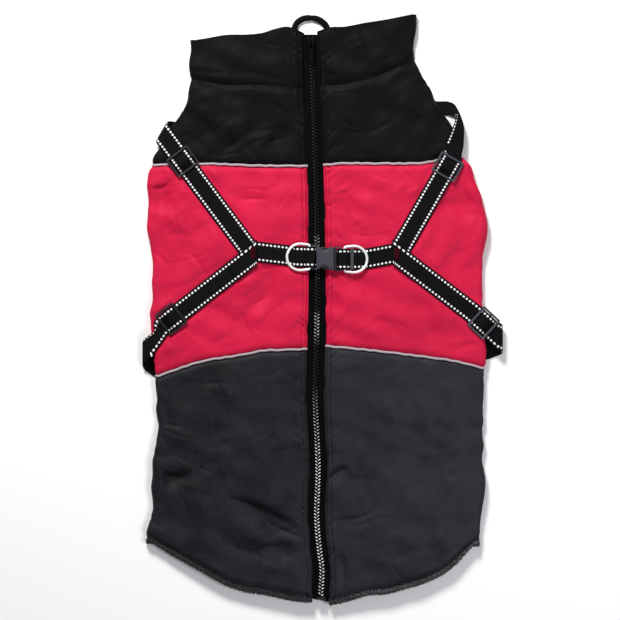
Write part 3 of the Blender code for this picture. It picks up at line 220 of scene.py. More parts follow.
Twist = namedtuple("Twist", "lx ly lz rx ry rz")
TWIST_ROWS = (
    Twist(124.5, 160.5, 12.9, 143.6, 152.0, 12.4), Twist(128.3, 168.5, 12.8, 145.4, 163.0, 11.2),
    Twist(131.8, 176.0, 12.6, 146.2, 172.5, 10.2), Twist(135.0, 183.5, 12.2, 146.2, 181.5, 9.2),
    Twist(137.6, 190.5, 11.0, 144.4, 190.0, 6.6), Twist(138.8, 194.6, 8.6, 141.0, 199.0, 4.2),
    Twist(136.6, 194.9, 4.6, 137.2, 206.0, 2.2), Twist(131.0, 194.9, 1.6, 131.0, 209.0, 1.2),
    Twist(122.0, 194.9, WRAP_LOW, 122.0, 209.3, WRAP_LOW),
    Twist(104.0, 194.9, WRAP_LOW, 104.0, 209.3, WRAP_LOW),
)

TURN_RADIUS = 2.45
BAR_HEIGHT = WEB_MID + TURN_RADIUS
RING_BAR_X = {-1: -8.5, 1: 26.5}
BUCKLE_BAR_X = {-1: -5.0, 1: 21.9}
TAIL_END_X = {-1: -22.0, 1: 39.5}
TUCK = 4.5              # how far a middle strap's end is tucked under the lower strap
BUCKLE_HALF = 11.6
BUCKLE_LOW = 1.6
BUCKLE_HIGH = 8.4
BUCKLE_ENDS = (-1.5, 18.4)
BUCKLE_SPLIT = 16.2
NOTCH_RADIUS = 5.7
NOTCH_X = 6.2
NOTCH_DEPTH = 3.6
BUCKLE_SLOPE = -0.078
BUCKLE_Y = 51.75
SLIDER_Y = 266.5
LOOP_POINTS = ((-22.8, 276.6), (-23.6, 282.0), (-21.0, 288.0), (-14.6, 292.2), (-6.5, 292.9),
               (1.0, 291.2), (6.8, 286.8), (9.8, 281.4), (10.4, 276.6))
LOOP_HEIGHT = 2.4


# ---------------------------------------------------------------- the coat's form
def smooth_line(knots, values):
    """A function through rising knots: a cubic piece between each two, with the mean slope at each knot."""
    knots = np.asarray(knots, dtype=float)
    values = np.asarray(values, dtype=float)
    slopes = np.gradient(values, knots)

    def at(where):
        where = np.clip(where, knots[0], knots[-1])
        i = np.clip(np.searchsorted(knots, where, side="right") - 1, 0, len(knots) - 2)
        step = knots[i + 1] - knots[i]
        t = (where - knots[i]) / step
        start = (1 + 2 * t) * (1 - t) ** 2 * values[i] + t * (1 - t) ** 2 * step * slopes[i]
        end = t * t * (3 - 2 * t) * values[i + 1] - t * t * (1 - t) * step * slopes[i + 1]
        return start + end

    return at


def across(table):
    """A function for each side from a table of shares and heights."""
    named = {side: [Cross(*row) for row in rows] for side, rows in table.items()}
    return {side: smooth_line([c.share for c in rows], [c.y for c in rows]) for side, rows in named.items()}


def ease(t):
    """Smooth step: 3 t squared less 2 t cubed, from 0 to 1."""
    t = np.clip(t, 0.0, 1.0)
    return t * t * (3.0 - 2.0 * t)


EDGE = {-1: smooth_line([s.y for s in SECTIONS], [s.left for s in SECTIONS]),
        1: smooth_line([s.y for s in SECTIONS], [s.right for s in SECTIONS])}
ZIP_X = smooth_line([r.y for r in ZIP_ROWS], [r.x for r in ZIP_ROWS])
ZIP_HALF = smooth_line([r.y for r in ZIP_ROWS], [r.half for r in ZIP_ROWS])
TOP_CURVE = across(COLLAR_TOP)
COLLAR_CURVE = across(COLLAR_SEAM)
UPPER_CURVE = across(UPPER_SEAM)
LOWER_CURVE = across(LOWER_SEAM)
HEM_CURVE = across(HEM_LINE)
SEAM_CURVES = (COLLAR_CURVE, UPPER_CURVE, LOWER_CURVE)


def fold_x(side, y):
    """Where the flat top ends and the rounded side fold starts."""
    return EDGE[side](y) - side * FOLD_RADIUS


def zip_edge(side, y):
    """The padded edge beside the zip."""
    return ZIP_X(y) + side * ZIP_HALF(y)


def crown(x, y):
    """Height of the coat's smooth top: the side height plus a crown that falls with the 4th power."""
    left, right = fold_x(-1, y), fold_x(1, y)
    share = (x - (left + right) / 2) / ((right - left) / 2)
    return SIDE_HEIGHT + CROWN * (1.0 - np.clip(np.abs(share), 0.0, 1.0) ** 4)


def line_places(row, x, y):
    """Share along a line from its first to its second end, and distance off it to the right."""
    dx, dy = row.x1 - row.x0, row.y1 - row.y0
    length = math.hypot(dx, dy)
    along = ((x - row.x0) * dx + (y - row.y0) * dy) / length ** 2
    off = ((x - row.x0) * dy - (y - row.y0) * dx) / length
    return along, off


def fold_depth(x, y):
    """Depth of the large folds: a bell across each line and a parabola along it."""
    total = 0.0
    for fold in FOLDS:
        along, off = line_places(fold, x, y)
        taper = np.clip(1.0 - (2.0 * along - 1.0) ** 2, 0.0, None)
        total = total + fold.depth * taper * np.exp(-(off / fold.width) ** 2)
    return total


def crease_relief(x, y):
    """Fine creases on bowed lines: a trough, steep above and long below, under a soft roll."""
    total = 0.0
    for crease in CREASES:
        along, off = line_places(crease, x, y)
        bend = 1.0 - (2.0 * along - 1.0) ** 2
        taper = np.clip(bend, 0.0, None) ** 0.8
        off = (off - crease.bow * bend) * (1.0 if crease.x1 > crease.x0 else -1.0)
        wide = np.where(off > 0.0, 3.2, 0.62) * crease.width
        trough = 0.85 * np.exp(-np.abs(off / wide) ** 1.4)
        roll = 0.3 * np.exp(-((off + 2.4 * crease.width) / (1.7 * crease.width)) ** 2)
        total = total + crease.depth * taper * (roll - trough)
    return total


def surface(side, share, x, y):
    """Height of the padded top: the crown less seam troughs, the roll beside the zip and large folds."""
    depth = fold_depth(x, y)
    for curve in SEAM_CURVES:
        depth = np.maximum(depth, SEAM_DIP * np.exp(-((y - curve[side](share)) / SEAM_REACH) ** 2))
    hem = y - (HEM_CURVE[side](share) + HEM_BAND)
    below, above = np.minimum(hem, 0.0) / 9.0, np.maximum(hem, 0.0) / 4.0
    depth = np.maximum(depth, SEAM_DIP * np.exp(-below ** 2 - above ** 2))
    depth = np.maximum(depth, ZIP_DIP * np.exp(-((x - zip_edge(side, y)) / ZIP_REACH) ** 2))
    return crown(x, y) - depth


def trough(side, y):
    """How far the underside is pressed up over webbing that passes under a side."""
    height = 0.0
    for row in TROUGHS:
        if row.side == side:
            inside = np.minimum(y - row.low, row.high - y) / TROUGH_RAMP + 1.0
            height = np.maximum(height, WEB_TROUGH * ease(inside))
    return height


def web_distance(x, y):
    """Distance in plan to the nearest middle line of the harness webbing."""
    nearest = np.full(np.shape(x), 1e3)
    for table in (UPPER_ROUTE, LOWER_ROUTE, MIDDLE_ROUTE):
        for route in table.values():
            for (x0, y0), (x1, y1) in zip(route, route[1:]):
                length = math.hypot(x1 - x0, y1 - y0)
                t = np.clip(((x - x0) * (x1 - x0) + (y - y0) * (y1 - y0)) / length ** 2, 0.0, 1.0)
                nearest = np.minimum(nearest, np.hypot(x - x0 - t * (x1 - x0), y - y0 - t * (y1 - y0)))
    return nearest


def clear_of_web(x, y):
    """From 0 under the webbing, which presses the wadding flat, to 1 well away from it."""
    return ease((web_distance(x, y) - WEB_PRESS) / WEB_PRESS_RAMP)


def rumple(x, y):
    """Soft unevenness of the wadding: slanted sine swells, each bent by a slower one, multiplied in pairs.

    The shortest, about 25 to 45 mm long, come and go with a slower one.
    """
    a = np.sin(x / 17.0 + 1.3 * np.sin(y / 31.0 + 0.4) + 0.8)
    b = np.sin(y / 21.0 + 1.1 * np.sin(x / 27.0 + 2.1) - 0.6)
    c = np.sin((x + 0.6 * y) / 9.5 + 1.6 * np.sin(y / 19.0) + 2.4)
    d = np.sin((0.7 * x - y) / 12.0 + 1.4 * np.sin(x / 23.0 + 1.0))
    e = np.sin((x - 0.5 * y) / 4.4 + 1.8 * np.sin(y / 14.0 + 0.3))
    f = np.sin((0.4 * x + y) / 5.1 + 1.7 * np.sin(x / 11.0 + 1.9))
    patchy = 0.5 + 0.5 * np.sin(x / 33.0 + 2.0 * np.sin(y / 47.0 + 1.0))
    g = np.sin((x + 0.3 * y) / 6.6 + 1.7 * np.sin(y / 17.0 + 0.9))
    g = g * np.sin((y - 0.2 * x) / 7.4 + 1.5 * np.sin(x / 21.0))
    return 1.6 * a * b + 1.4 * c * d + 0.5 * a * c + (0.35 * e * f + 0.8 * g) * patchy


def stray_creases(x, y):
    """Faint creases all over: seeded short lines, each a shallow trough with a soft rim."""
    spread = np.random.default_rng(11)
    total = np.zeros(np.shape(x))
    for _ in range(STRAYS):
        x0, y0 = spread.uniform(-190.0, 190.0), spread.uniform(-290.0, 290.0)
        heading, length = spread.normal(0.0, 0.75), spread.uniform(8.0, 30.0)
        depth = 1.4 * spread.uniform(0.2, 0.8) ** 1.4
        width, bow = spread.uniform(1.3, 3.6), spread.uniform(-4.0, 4.0)
        near = np.hypot(x - x0, y - y0) < length + 12.0
        dx, dy = x[near] - x0, y[near] - y0
        along = (dx * math.cos(heading) + dy * math.sin(heading)) / length
        bend = np.clip(1.0 - along ** 2, 0.0, None)
        off = dy * math.cos(heading) - dx * math.sin(heading) - bow * bend
        rim, dip = 0.4 * np.exp(-(off / (2.4 * width)) ** 2), np.exp(-(off / width) ** 2)
        total[near] += depth * bend * (rim - dip)
    return total


def gather(place, off, reach, pitch, slant=0.0):
    """Puckers off a seam, aslant if asked: a patchy ripple along it that dies away in the given reach."""
    place = place + slant * off
    wave = np.sin(2 * math.pi * place / pitch + 2.3 * np.sin(place / 13.0) + 1.2 * np.sin(place / 5.3))
    strength = np.clip(0.4 + 0.8 * np.sin(place / 21.0 + 1.7) * np.sin(place / 8.7 + 0.5), 0.0, 1.0)
    return wave * strength * np.exp(-np.abs(off) / reach)


def swell(side, share, x, y):
    """Creases and rumples of the padded top, held down near the two colour seams and the hem."""
    held = 0.0
    for curve, hold in ((UPPER_CURVE, 0.6), (LOWER_CURVE, 0.6), (HEM_CURVE, 0.5)):
        held = np.maximum(held, hold * np.exp(-((y - curve[side](share)) / 10.0) ** 2))
    return (crease_relief(x, y) + stray_creases(x, y) + rumple(x, y) - 0.7 * fold_depth(x, y)) * (1.0 - held)


def relief(side, share, x, y, strength):
    """Fine form of the padded top: creases, rumples, puckers off every seam and the stitched line by the zip.

    It fades to nothing under the webbing, which presses the wadding flat.
    """
    height = swell(side, share, x, y)
    for curve, pucker, groove in zip(SEAM_CURVES, (0.14, 0.3, 0.34), (0.4, 0.9, 0.9)):
        off = y - curve[side](share)
        height = height + pucker * gather(x, off, 6.5, 7.3, 0.35) - groove * np.exp(-(off / 1.3) ** 2)
    height = height + 0.5 * gather(x + 40.0, y - HEM_CURVE[side](share) - HEM_BAND, 6.0, 6.1, 0.3)
    from_zip = np.abs(x - zip_edge(side, y))
    height = height + 0.6 * gather(y + 60.0 * side, from_zip - TOPSTITCH, 5.5, 8.3, -0.8)
    height = height - 0.8 * np.exp(-((from_zip - TOPSTITCH) / 1.3) ** 2)
    height = height + 0.5 * np.exp(-((from_zip - 2.4) / 1.6) ** 2)
    guard = ease((y - 195.0) / 30.0) if side < 0 else 0.0
    ribs = guard * 1.1 * np.exp(-(from_zip / 11.0) ** 2)
    height = height + ribs * np.cos(2 * math.pi * (from_zip - 3.2) / 6.3)
    pressed = 1.0 - clear_of_web(x, y)
    beside = np.exp(-((web_distance(x, y) - 17.0) / 6.0) ** 2)
    return strength * height * (1.0 - pressed) + 0.7 * beside - 0.25 * pressed


# ---------------------------------------------------------------- mesh helpers
def settle(name, points, faces, uv=None):
    """A mesh object from points in millimetres and faces, turned outwards by its signed volume."""
    points = np.asarray(points, dtype=float).reshape(-1, 3) * MM
    faces = np.asarray(faces)
    corners = points[faces]
    volume = 0.0
    for k in range(1, faces.shape[1] - 1):
        volume += np.einsum("ij,ij->i", corners[:, 0], np.cross(corners[:, k], corners[:, k + 1])).sum()
    if volume < 0.0:
        faces = faces[:, ::-1]
    mesh = bpy.data.meshes.new(name)
    mesh.vertices.add(len(points))
    mesh.vertices.foreach_set("co", points.ravel())
    mesh.loops.add(faces.size)
    mesh.loops.foreach_set("vertex_index", faces.ravel())
    mesh.polygons.add(len(faces))
    mesh.polygons.foreach_set("loop_start", np.arange(0, faces.size, faces.shape[1]))
    mesh.update(calc_edges=True)
    if uv is not None:
        layer = mesh.uv_layers.new(name="cloth")
        layer.data.foreach_set("uv", np.asarray(uv, dtype=float).reshape(-1, 2)[faces.ravel()].ravel())
    mesh.validate()
    mesh.shade_smooth()
    mesh.set_sharp_from_angle(angle=math.radians(SHARP_ANGLE))
    piece = bpy.data.objects.new(name, mesh)
    bpy.context.collection.objects.link(piece)
    return piece


def wall_faces(rows, columns):
    """Quads of a closed wall: an outer grid, an inner grid turned over, and a rim that joins them."""
    count = rows * columns
    index = np.arange(count).reshape(rows, columns)
    outer = np.stack([index[:-1, :-1], index[:-1, 1:], index[1:, 1:], index[1:, :-1]], -1).reshape(-1, 4)
    inner = outer[:, ::-1] + count
    rim = np.concatenate([index[0, :-1], index[:-1, -1], index[-1, :0:-1], index[:0:-1, 0]])
    after = np.roll(rim, -1)
    return np.concatenate([outer, inner, np.stack([after, rim, rim + count, after + count], -1)])


def wall(name, outer, inner, uv=None):
    """A closed wall between two equal grids of points."""
    rows, columns = outer.shape[:2]
    points = np.concatenate([outer.reshape(-1, 3), inner.reshape(-1, 3)])
    if uv is not None:
        uv = np.concatenate([uv.reshape(-1, 2), uv.reshape(-1, 2)])
    return settle(name, points, wall_faces(rows, columns), uv)


def tube_faces(rings, sides, closed):
    """Quads round a tube of equal rings, from the last ring back to the first if it is closed."""
    count = rings if closed else rings - 1
    r = np.arange(count)[:, None] * sides
    s = np.arange(sides)[None, :]
    there = (r + sides) % (rings * sides)
    after = (s + 1) % sides
    return np.stack([r + s, r + after, there + after, there + s], -1).reshape(-1, 4)


def tube(name, rings, closed=False):
    """A tube through rings of points: two shrunken rings draw each end of an open one almost to a point."""
    rings = np.asarray(rings, dtype=float)
    if not closed:
        first, last = rings[:1].mean(axis=1, keepdims=True), rings[-1:].mean(axis=1, keepdims=True)
        ends = [first + (rings[:1] - first) * k for k in (0.001, 0.6)]
        tails = [last + (rings[-1:] - last) * k for k in (0.6, 0.001)]
        rings = np.concatenate(ends + [rings] + tails)
    return settle(name, rings, tube_faces(rings.shape[0], rings.shape[1], closed))


def sweep(path, wide, tall, sides=12, up=(0.0, 0.0, 1.0), closed=False):
    """Rings of an ellipse carried along a path: its width lies across the path, its height along up."""
    path = np.asarray(path, dtype=float)
    if closed:
        ahead = np.roll(path, -1, axis=0) - np.roll(path, 1, axis=0)
    else:
        ahead = np.gradient(path, axis=0)
    ahead /= np.linalg.norm(ahead, axis=1)[:, None]
    cross = np.cross(ahead, np.broadcast_to(up, ahead.shape))
    cross /= np.linalg.norm(cross, axis=1)[:, None]
    top = np.cross(cross, ahead)
    turn = np.linspace(0.0, 2.0 * math.pi, sides, endpoint=False)
    aside = cross[:, None] * np.cos(turn)[None, :, None] * wide
    raised = top[:, None] * np.sin(turn)[None, :, None] * tall
    return path[:, None] + (aside + raised)


def beads(name, centres, ahead, size, round_ends=0.6):
    """Many small rounded bars: each a six-sided bar of four rings with small ends, laid along its direction.

    size is half the length, half the width and half the height.
    """
    ahead = ahead / np.linalg.norm(ahead, axis=1)[:, None]
    cross = np.cross((0.0, 0.0, 1.0), ahead)
    cross /= np.linalg.norm(cross, axis=1)[:, None]
    top = np.cross(ahead, cross)
    turn = np.linspace(0.0, 2.0 * math.pi, 6, endpoint=False)
    along = np.repeat([-1.0, -round_ends, round_ends, 1.0], 6) * size[0]
    swell = np.repeat([0.35, 1.0, 1.0, 0.35], 6)
    wide, tall = np.tile(np.cos(turn), 4) * swell * size[1], np.tile(np.sin(turn), 4) * swell * size[2]
    points = (centres[:, None] + ahead[:, None] * along[None, :, None] + cross[:, None] * wide[None, :, None]
              + top[:, None] * tall[None, :, None])
    sides = tube_faces(4, 6, False)
    caps = np.array([[0, 1, 2, 3], [0, 3, 4, 5], [18, 21, 20, 19], [18, 23, 22, 21]])
    body = np.concatenate([sides, caps])
    faces = body[None] + (np.arange(len(centres)) * 24)[:, None, None]
    return settle(name, points, faces.reshape(-1, 4))


def bevelled(piece, width):
    """Round a hard piece's edges by a width in millimetres."""
    step = piece.modifiers.new("rounded edges", "BEVEL")
    step.width = width * MM
    step.segments = 3
    step.limit_method = "ANGLE"
    step.angle_limit = math.radians(35.0)
    step.harden_normals = True
    return piece


def prism(outline, low, high):
    """Points of an outline at two heights, and the outward faces of the solid between them."""
    count = len(outline)
    points = [(x, y, z) for z in (low, high) for x, y in outline]
    faces = [list(range(count))[::-1], list(range(count, 2 * count))]
    faces += [[i, (i + 1) % count, (i + 1) % count + count, i + count] for i in range(count)]
    if sum(a[0] * b[1] - b[0] * a[1] for a, b in zip(outline, outline[1:] + outline[:1])) < 0:
        faces = [face[::-1] for face in faces]
    return points, faces


def box_of(node):
    """A node's lowest and highest corners in millimetres."""
    return [np.array(corner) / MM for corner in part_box(node)]


def from_faces(name, points, faces):
    """A hard piece from points in millimetres and faces of any number of corners."""
    mesh = bpy.data.meshes.new(name)
    mesh.from_pydata([tuple(p) for p in np.asarray(points, dtype=float) * MM], [], faces)
    mesh.update()
    piece = bpy.data.objects.new(name, mesh)
    bpy.context.collection.objects.link(piece)
    mesh.shade_smooth()
    mesh.set_sharp_from_angle(angle=math.radians(30.0))
    return piece


# ---------------------------------------------------------------- finishes
def scaled(colour, share):
    """A colour with each of its numbers times a share."""
    return tuple(c * share for c in colour)


class Finish:
    """A Principled material and the few nodes that its finish is made of."""

    def __init__(self, name, colour, roughness, metallic=0.0):
        self.material = bpy.data.materials.new(name)
        self.material.use_nodes = True
        self.tree = self.material.node_tree
        self.shader = self.tree.nodes["Principled BSDF"]
        self.shader.inputs["Base Color"].default_value = (*colour, 1.0)
        self.shader.inputs["Roughness"].default_value = roughness
        self.shader.inputs["Metallic"].default_value = metallic
        self.coordinates = self.tree.nodes.new("ShaderNodeTexCoord")

    def put(self, socket, value):
        """A link to a socket, or a plain value on it."""
        if isinstance(value, bpy.types.NodeSocket):
            self.tree.links.new(value, socket)
        elif value is not None:
            socket.default_value = value

    def math(self, operation, a, b=None, c=None):
        """One step of arithmetic on sockets or numbers."""
        node = self.tree.nodes.new("ShaderNodeMath")
        node.operation = operation
        for socket, value in zip(node.inputs, (a, b, c)):
            self.put(socket, value)
        return node.outputs[0]

    def noise(self, scale, detail=3.0, roughness=0.5, stretch=(1.0, 1.0, 1.0)):
        """Noise on Object coordinates in metres."""
        mapping = self.tree.nodes.new("ShaderNodeMapping")
        mapping.inputs["Scale"].default_value = stretch
        node = self.tree.nodes.new("ShaderNodeTexNoise")
        node.inputs["Scale"].default_value = scale
        node.inputs["Detail"].default_value = detail
        node.inputs["Roughness"].default_value = roughness
        self.tree.links.new(self.coordinates.outputs["Object"], mapping.inputs["Vector"])
        self.tree.links.new(mapping.outputs["Vector"], node.inputs["Vector"])
        return node.outputs["Fac"]

    def axes(self, source):
        """The three numbers of the Object or UV coordinates."""
        node = self.tree.nodes.new("ShaderNodeSeparateXYZ")
        self.tree.links.new(self.coordinates.outputs[source], node.inputs[0])
        return node.outputs

    def span(self, value, low, high):
        """A number stretched so that low is 0 and high is 1, held between them."""
        node = self.tree.nodes.new("ShaderNodeMapRange")
        self.put(node.inputs["Value"], value)
        node.inputs["From Min"].default_value = low
        node.inputs["From Max"].default_value = high
        return node.outputs["Result"]

    def blend(self, share, first, second):
        """A colour between two, by a share."""
        node = self.tree.nodes.new("ShaderNodeMix")
        node.data_type = "RGBA"
        self.put(node.inputs["Factor"], share)
        for socket, value in ((node.inputs["A"], first), (node.inputs["B"], second)):
            self.put(socket, value if isinstance(value, bpy.types.NodeSocket) else (*value, 1.0))
        return node.outputs["Result"]

    def colour(self, value):
        """The surface's colour, from a socket."""
        self.put(self.shader.inputs["Base Color"], value)

    def roughness(self, value):
        """How rough the surface is, from a socket."""
        self.put(self.shader.inputs["Roughness"], value)

    def bump(self, height, distance_mm, strength=1.0, under=None):
        """Raise the surface by a height from 0 to 1 times a distance, over an earlier bump if given."""
        node = self.tree.nodes.new("ShaderNodeBump")
        node.inputs["Strength"].default_value = strength
        node.inputs["Distance"].default_value = distance_mm * MM
        self.put(node.inputs["Height"], height)
        self.put(node.inputs["Normal"], under)
        self.put(self.shader.inputs["Normal"], node.outputs["Normal"])
        return node.outputs["Normal"]

    def gloss(self, level):
        """How strongly the surface mirrors light, the same all over."""
        self.shader.inputs["Specular IOR Level"].default_value = level


WEAVE_PITCH = 0.75      # millimetres from one thread to the next in the shell


def shell_cloth(name, colour, fade_and_painted_sheen, gloss, painted_sheen_slope=0.0):
    """Woven polyester: a two-way weave and shades in three sizes, with a painted sheen that lightens it
    towards the coat's right side by the given slope.
    """
    finish = Finish(name, colour, 0.58)
    x, y, _ = finish.axes("Object")
    slow = finish.span(finish.noise(14.0, 3.0), 0.32, 0.68)
    mottle = finish.span(finish.noise(75.0, 4.0, 0.6, (0.7, 1.0, 1.0)), 0.3, 0.7)
    shade = finish.math("MULTIPLY_ADD", mottle, 0.5, finish.math("MULTIPLY", slow, 0.5))
    # painted sheen: the share of the second colour grows towards the coat's right side
    shade = finish.math("ADD", shade, finish.math("MULTIPLY", x, painted_sheen_slope))
    tone = finish.blend(finish.span(shade, 0.0, 1.0), colour, fade_and_painted_sheen)
    grain = finish.span(finish.noise(900.0, 2.0), 0.25, 0.75)
    finish.colour(finish.blend(finish.math("MULTIPLY", grain, 0.5), tone, scaled(fade_and_painted_sheen, 1.5)))
    turn = 2.0 * math.pi / (WEAVE_PITCH * MM)
    weave = finish.math("ADD", finish.math("SINE", finish.math("MULTIPLY", x, turn)),
                        finish.math("SINE", finish.math("MULTIPLY", y, turn)))
    slub = finish.bump(finish.noise(260.0, 4.0, 0.6, (1.0, 0.35, 1.0)), 0.25, 0.5)
    finish.bump(finish.math("MULTIPLY_ADD", weave, 0.25, 0.5), 0.05, 0.5, slub)
    finish.gloss(gloss)
    return finish.material


def fleece_cloth(name, colour, flecks, pale):
    """Short fleece: tight curls of noise in the colour and the bump, with a painted sheen that makes it paler
    towards the coat's right side.
    """
    finish = Finish(name, colour, 0.95)
    curl = finish.noise(620.0, 5.0, 0.65)
    x, _, _ = finish.axes("Object")
    # painted sheen: the flecks turn paler towards the coat's right side
    light = finish.blend(finish.span(x, 0.01, 0.06), flecks, pale)
    finish.colour(finish.blend(finish.span(curl, 0.42, 0.66), colour, light))
    finish.gloss(0.1)
    finish.bump(curl, 0.9, 0.9)
    finish.shader.inputs["Sheen Weight"].default_value = 0.12
    finish.shader.inputs["Sheen Roughness"].default_value = 0.6
    finish.shader.inputs["Sheen Tint"].default_value = (0.6, 0.6, 0.62, 1.0)
    return finish.material


def webbing_cloth(name, colour, dash_colour, pitch):
    """Ribbed webbing on its own UV map, in millimetres: ribs along it and two rows of round pale stitches."""
    finish = Finish(name, colour, 0.72)
    across_web, along_web, _ = finish.axes("UV")
    rib = finish.math("SINE", finish.math("MULTIPLY", across_web, 2.0 * math.pi / 1.15))
    weft = finish.math("SINE", finish.math("MULTIPLY", along_web, 2.0 * math.pi / 0.9))
    height = finish.math("MULTIPLY_ADD", finish.math("MULTIPLY_ADD", weft, 0.35, rib), 0.3, 0.5)
    from_row = finish.math("SUBTRACT", finish.math("ABSOLUTE", across_web), 7.65)
    step = finish.math("SUBTRACT", finish.math("FRACT", finish.math("DIVIDE", along_web, pitch)), 0.5)
    a = finish.math("POWER", finish.math("ABSOLUTE", finish.math("DIVIDE", from_row, 0.98)), 2.4)
    b = finish.math("POWER", finish.math("ABSOLUTE", finish.math("DIVIDE", step, 1.12 / pitch)), 2.4)
    dash = finish.span(finish.math("ADD", a, b), 1.3, 0.7)
    worn = finish.span(finish.noise(420.0, 2.0), 0.3, 0.75)
    pale = finish.blend(worn, dash_colour, scaled(dash_colour, 0.72))
    uneven = finish.span(finish.noise(700.0, 2.0), 0.3, 0.7)
    cloth = finish.blend(uneven, colour, scaled(colour, 2.2))
    finish.colour(finish.blend(dash, cloth, pale))
    finish.roughness(finish.math("MULTIPLY_ADD", dash, -0.22, 0.74))
    ribs = finish.bump(height, 0.16, 0.7)
    finish.bump(dash, 0.35, 0.8, ribs)
    finish.gloss(0.06)
    return finish.material


def moulded_plastic(name, colour, roughness):
    """Moulded plastic with a fine spark-eroded grain."""
    finish = Finish(name, colour, roughness)
    grain = finish.noise(1500.0, 2.0)
    finish.bump(grain, 0.05, 0.35)
    finish.roughness(finish.math("MULTIPLY_ADD", grain, 0.16, roughness - 0.08))
    return finish.material


def bare_metal(name, colour, roughness, metallic=1.0):
    """Plated metal with faint smears in its polish."""
    finish = Finish(name, colour, roughness, metallic)
    smear = finish.noise(140.0, 3.0)
    finish.roughness(finish.math("MULTIPLY_ADD", smear, 0.12, roughness - 0.05))
    return finish.material


def coil_teeth(name, dark, painted_highlight):
    """The zip's coil: dark near the collar, with painted glints here and there and a painted highlight all
    along towards the hem.
    """
    finish = Finish(name, dark, 0.4, 0.1)
    _, y, _ = finish.axes("Object")
    # painted highlight: the coil turns bright towards the hem; painted glints in bands below the collar; both
    # broken into specks
    down = finish.span(y, -0.075, -0.16)
    painted_glint = finish.span(finish.noise(26.0, 1.0, 0.5, (0.0, 1.0, 0.0)), 0.52, 0.62)
    painted_glint = finish.math("MULTIPLY", painted_glint, finish.span(y, 0.14, 0.1))
    highlight_fleck = finish.span(finish.noise(240.0, 1.0), 0.2, 0.45)
    share = finish.math("MULTIPLY", finish.math("MAXIMUM", down, finish.math("MULTIPLY", painted_glint, 0.6)), highlight_fleck)
    finish.colour(finish.blend(share, dark, painted_highlight))
    return finish.material


def cord_cloth(name, colour, twist_mm):
    """Thread or cord: fine slanting ribs on Object coordinates."""
    finish = Finish(name, colour, 0.7)
    x, y, _ = finish.axes("Object")
    turn = 2.0 * math.pi / (twist_mm * MM)
    rib = finish.math("SINE", finish.math("MULTIPLY", finish.math("ADD", x, y), turn))
    finish.bump(finish.math("MULTIPLY_ADD", rib, 0.5, 0.5), 0.12, 0.6)
    finish.gloss(0.04)
    return finish.material


WEB_COLOUR = (0.0024, 0.0024, 0.0027)
WEB_STITCHES = (0.95, 0.94, 0.95)
made = {}


def finish_for(key):
    """The finish of a name, made once from the colours that the panel shows."""
    colours = bpy.context.scene.coat_colours
    black, red, pale = tuple(colours.black_shell), tuple(colours.red_shell), tuple(colours.reflective)
    recipes = {
        "black_shell": (shell_cloth, "black shell", black, (0.005, 0.005, 0.0055), 0.05),
        # the lower black is the black shell again with a painted sheen: a far lighter second tone, lighter
        # still towards the coat's right side
        "black_lower": (shell_cloth, "black lower shell", (0.0024, 0.0024, 0.003),
                        (0.0185, 0.0195, 0.0235), 0.11, 2.4),
        "red_shell": (shell_cloth, "red shell", red, scaled(red, 0.7), 0.08),
        # the fleece and its nap: the last colour of each is a painted sheen towards the coat's right side
        "fleece": (fleece_cloth, "fleece", (0.006, 0.006, 0.007), (0.035, 0.035, 0.038), (0.12, 0.12, 0.125)),
        "nap": (fleece_cloth, "fleece nap", (0.02, 0.02, 0.022), (0.11, 0.11, 0.115), (0.26, 0.26, 0.27)),
        "reflective": (cord_cloth, "reflective piping", pale, 1.1),
        "webbing": (webbing_cloth, "webbing", WEB_COLOUR, WEB_STITCHES, 3.9),
        "webbing_close": (webbing_cloth, "close-stitched webbing", WEB_COLOUR, WEB_STITCHES, 3.5),
        "tape": (cord_cloth, "zip tape", (0.0016, 0.0016, 0.0018), 0.9),
        "cord": (cord_cloth, "hang loop cord", (0.004, 0.004, 0.0044), 1.3),
        "black_thread": (cord_cloth, "black thread", (0.007, 0.007, 0.0075), 0.5),
        "red_thread": (cord_cloth, "red thread", scaled(red, 0.5), 0.5),
        "tack_thread": (cord_cloth, "dark red thread", (0.04, 0.003, 0.006), 0.5),
        # the coil's bright second colour is its painted highlight
        "teeth": (coil_teeth, "zip coil", (0.01, 0.01, 0.011), (0.9, 0.9, 0.93)),
        "dark_metal": (bare_metal, "lacquered zinc", (0.014, 0.014, 0.015), 0.34),
        "bright_metal": (bare_metal, "nickel plate", (0.97, 0.96, 0.97), 0.26, 0.35),
        "black_plastic": (moulded_plastic, "black plastic", (0.008, 0.008, 0.009), 0.42),
        "grey_plastic": (moulded_plastic, "grey-black plastic", (0.04, 0.04, 0.054), 0.4),
    }
    if key not in made:
        recipe, *values = recipes[key]
        made[key] = recipe(*values)
    return made[key]


def paint(piece, finish):
    """Give a piece one finish in place of what it has."""
    piece.data.materials.clear()
    piece.data.materials.append(finish_for(finish))


def dress(piece, finish, body="coat", nodes=()):
    """Give a piece its finish, parent it to the body it rides on, and hide the solids that it stands for."""
    paint(piece, finish)
    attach(piece, body)
    if nodes:
        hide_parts(*nodes)
    return piece


# ---------------------------------------------------------------- padded fronts
TURN_STEPS = 22          # round the side fold
UNDER_STEPS = 6          # under the coat
FRONT_COLUMNS = 104
HEM_COLUMNS = 150
HEM_ROWS = 12


def top_shares(count):
    """Shares across a half: close together over the roll beside the zip, even after it."""
    return np.concatenate([np.linspace(0.0, 0.06, 16), np.linspace(0.06, 1.0, count)[1:]])


def row_places(height, pitch):
    """Shares down a piece: close together beside both seams."""
    near = np.linspace(0.0, min(0.3, 9.0 / height), 13)
    middle = np.linspace(near[-1], 1.0 - near[-1], max(4, int(height / pitch)))[1:-1]
    return np.concatenate([near, middle, (1.0 - near)[::-1]])


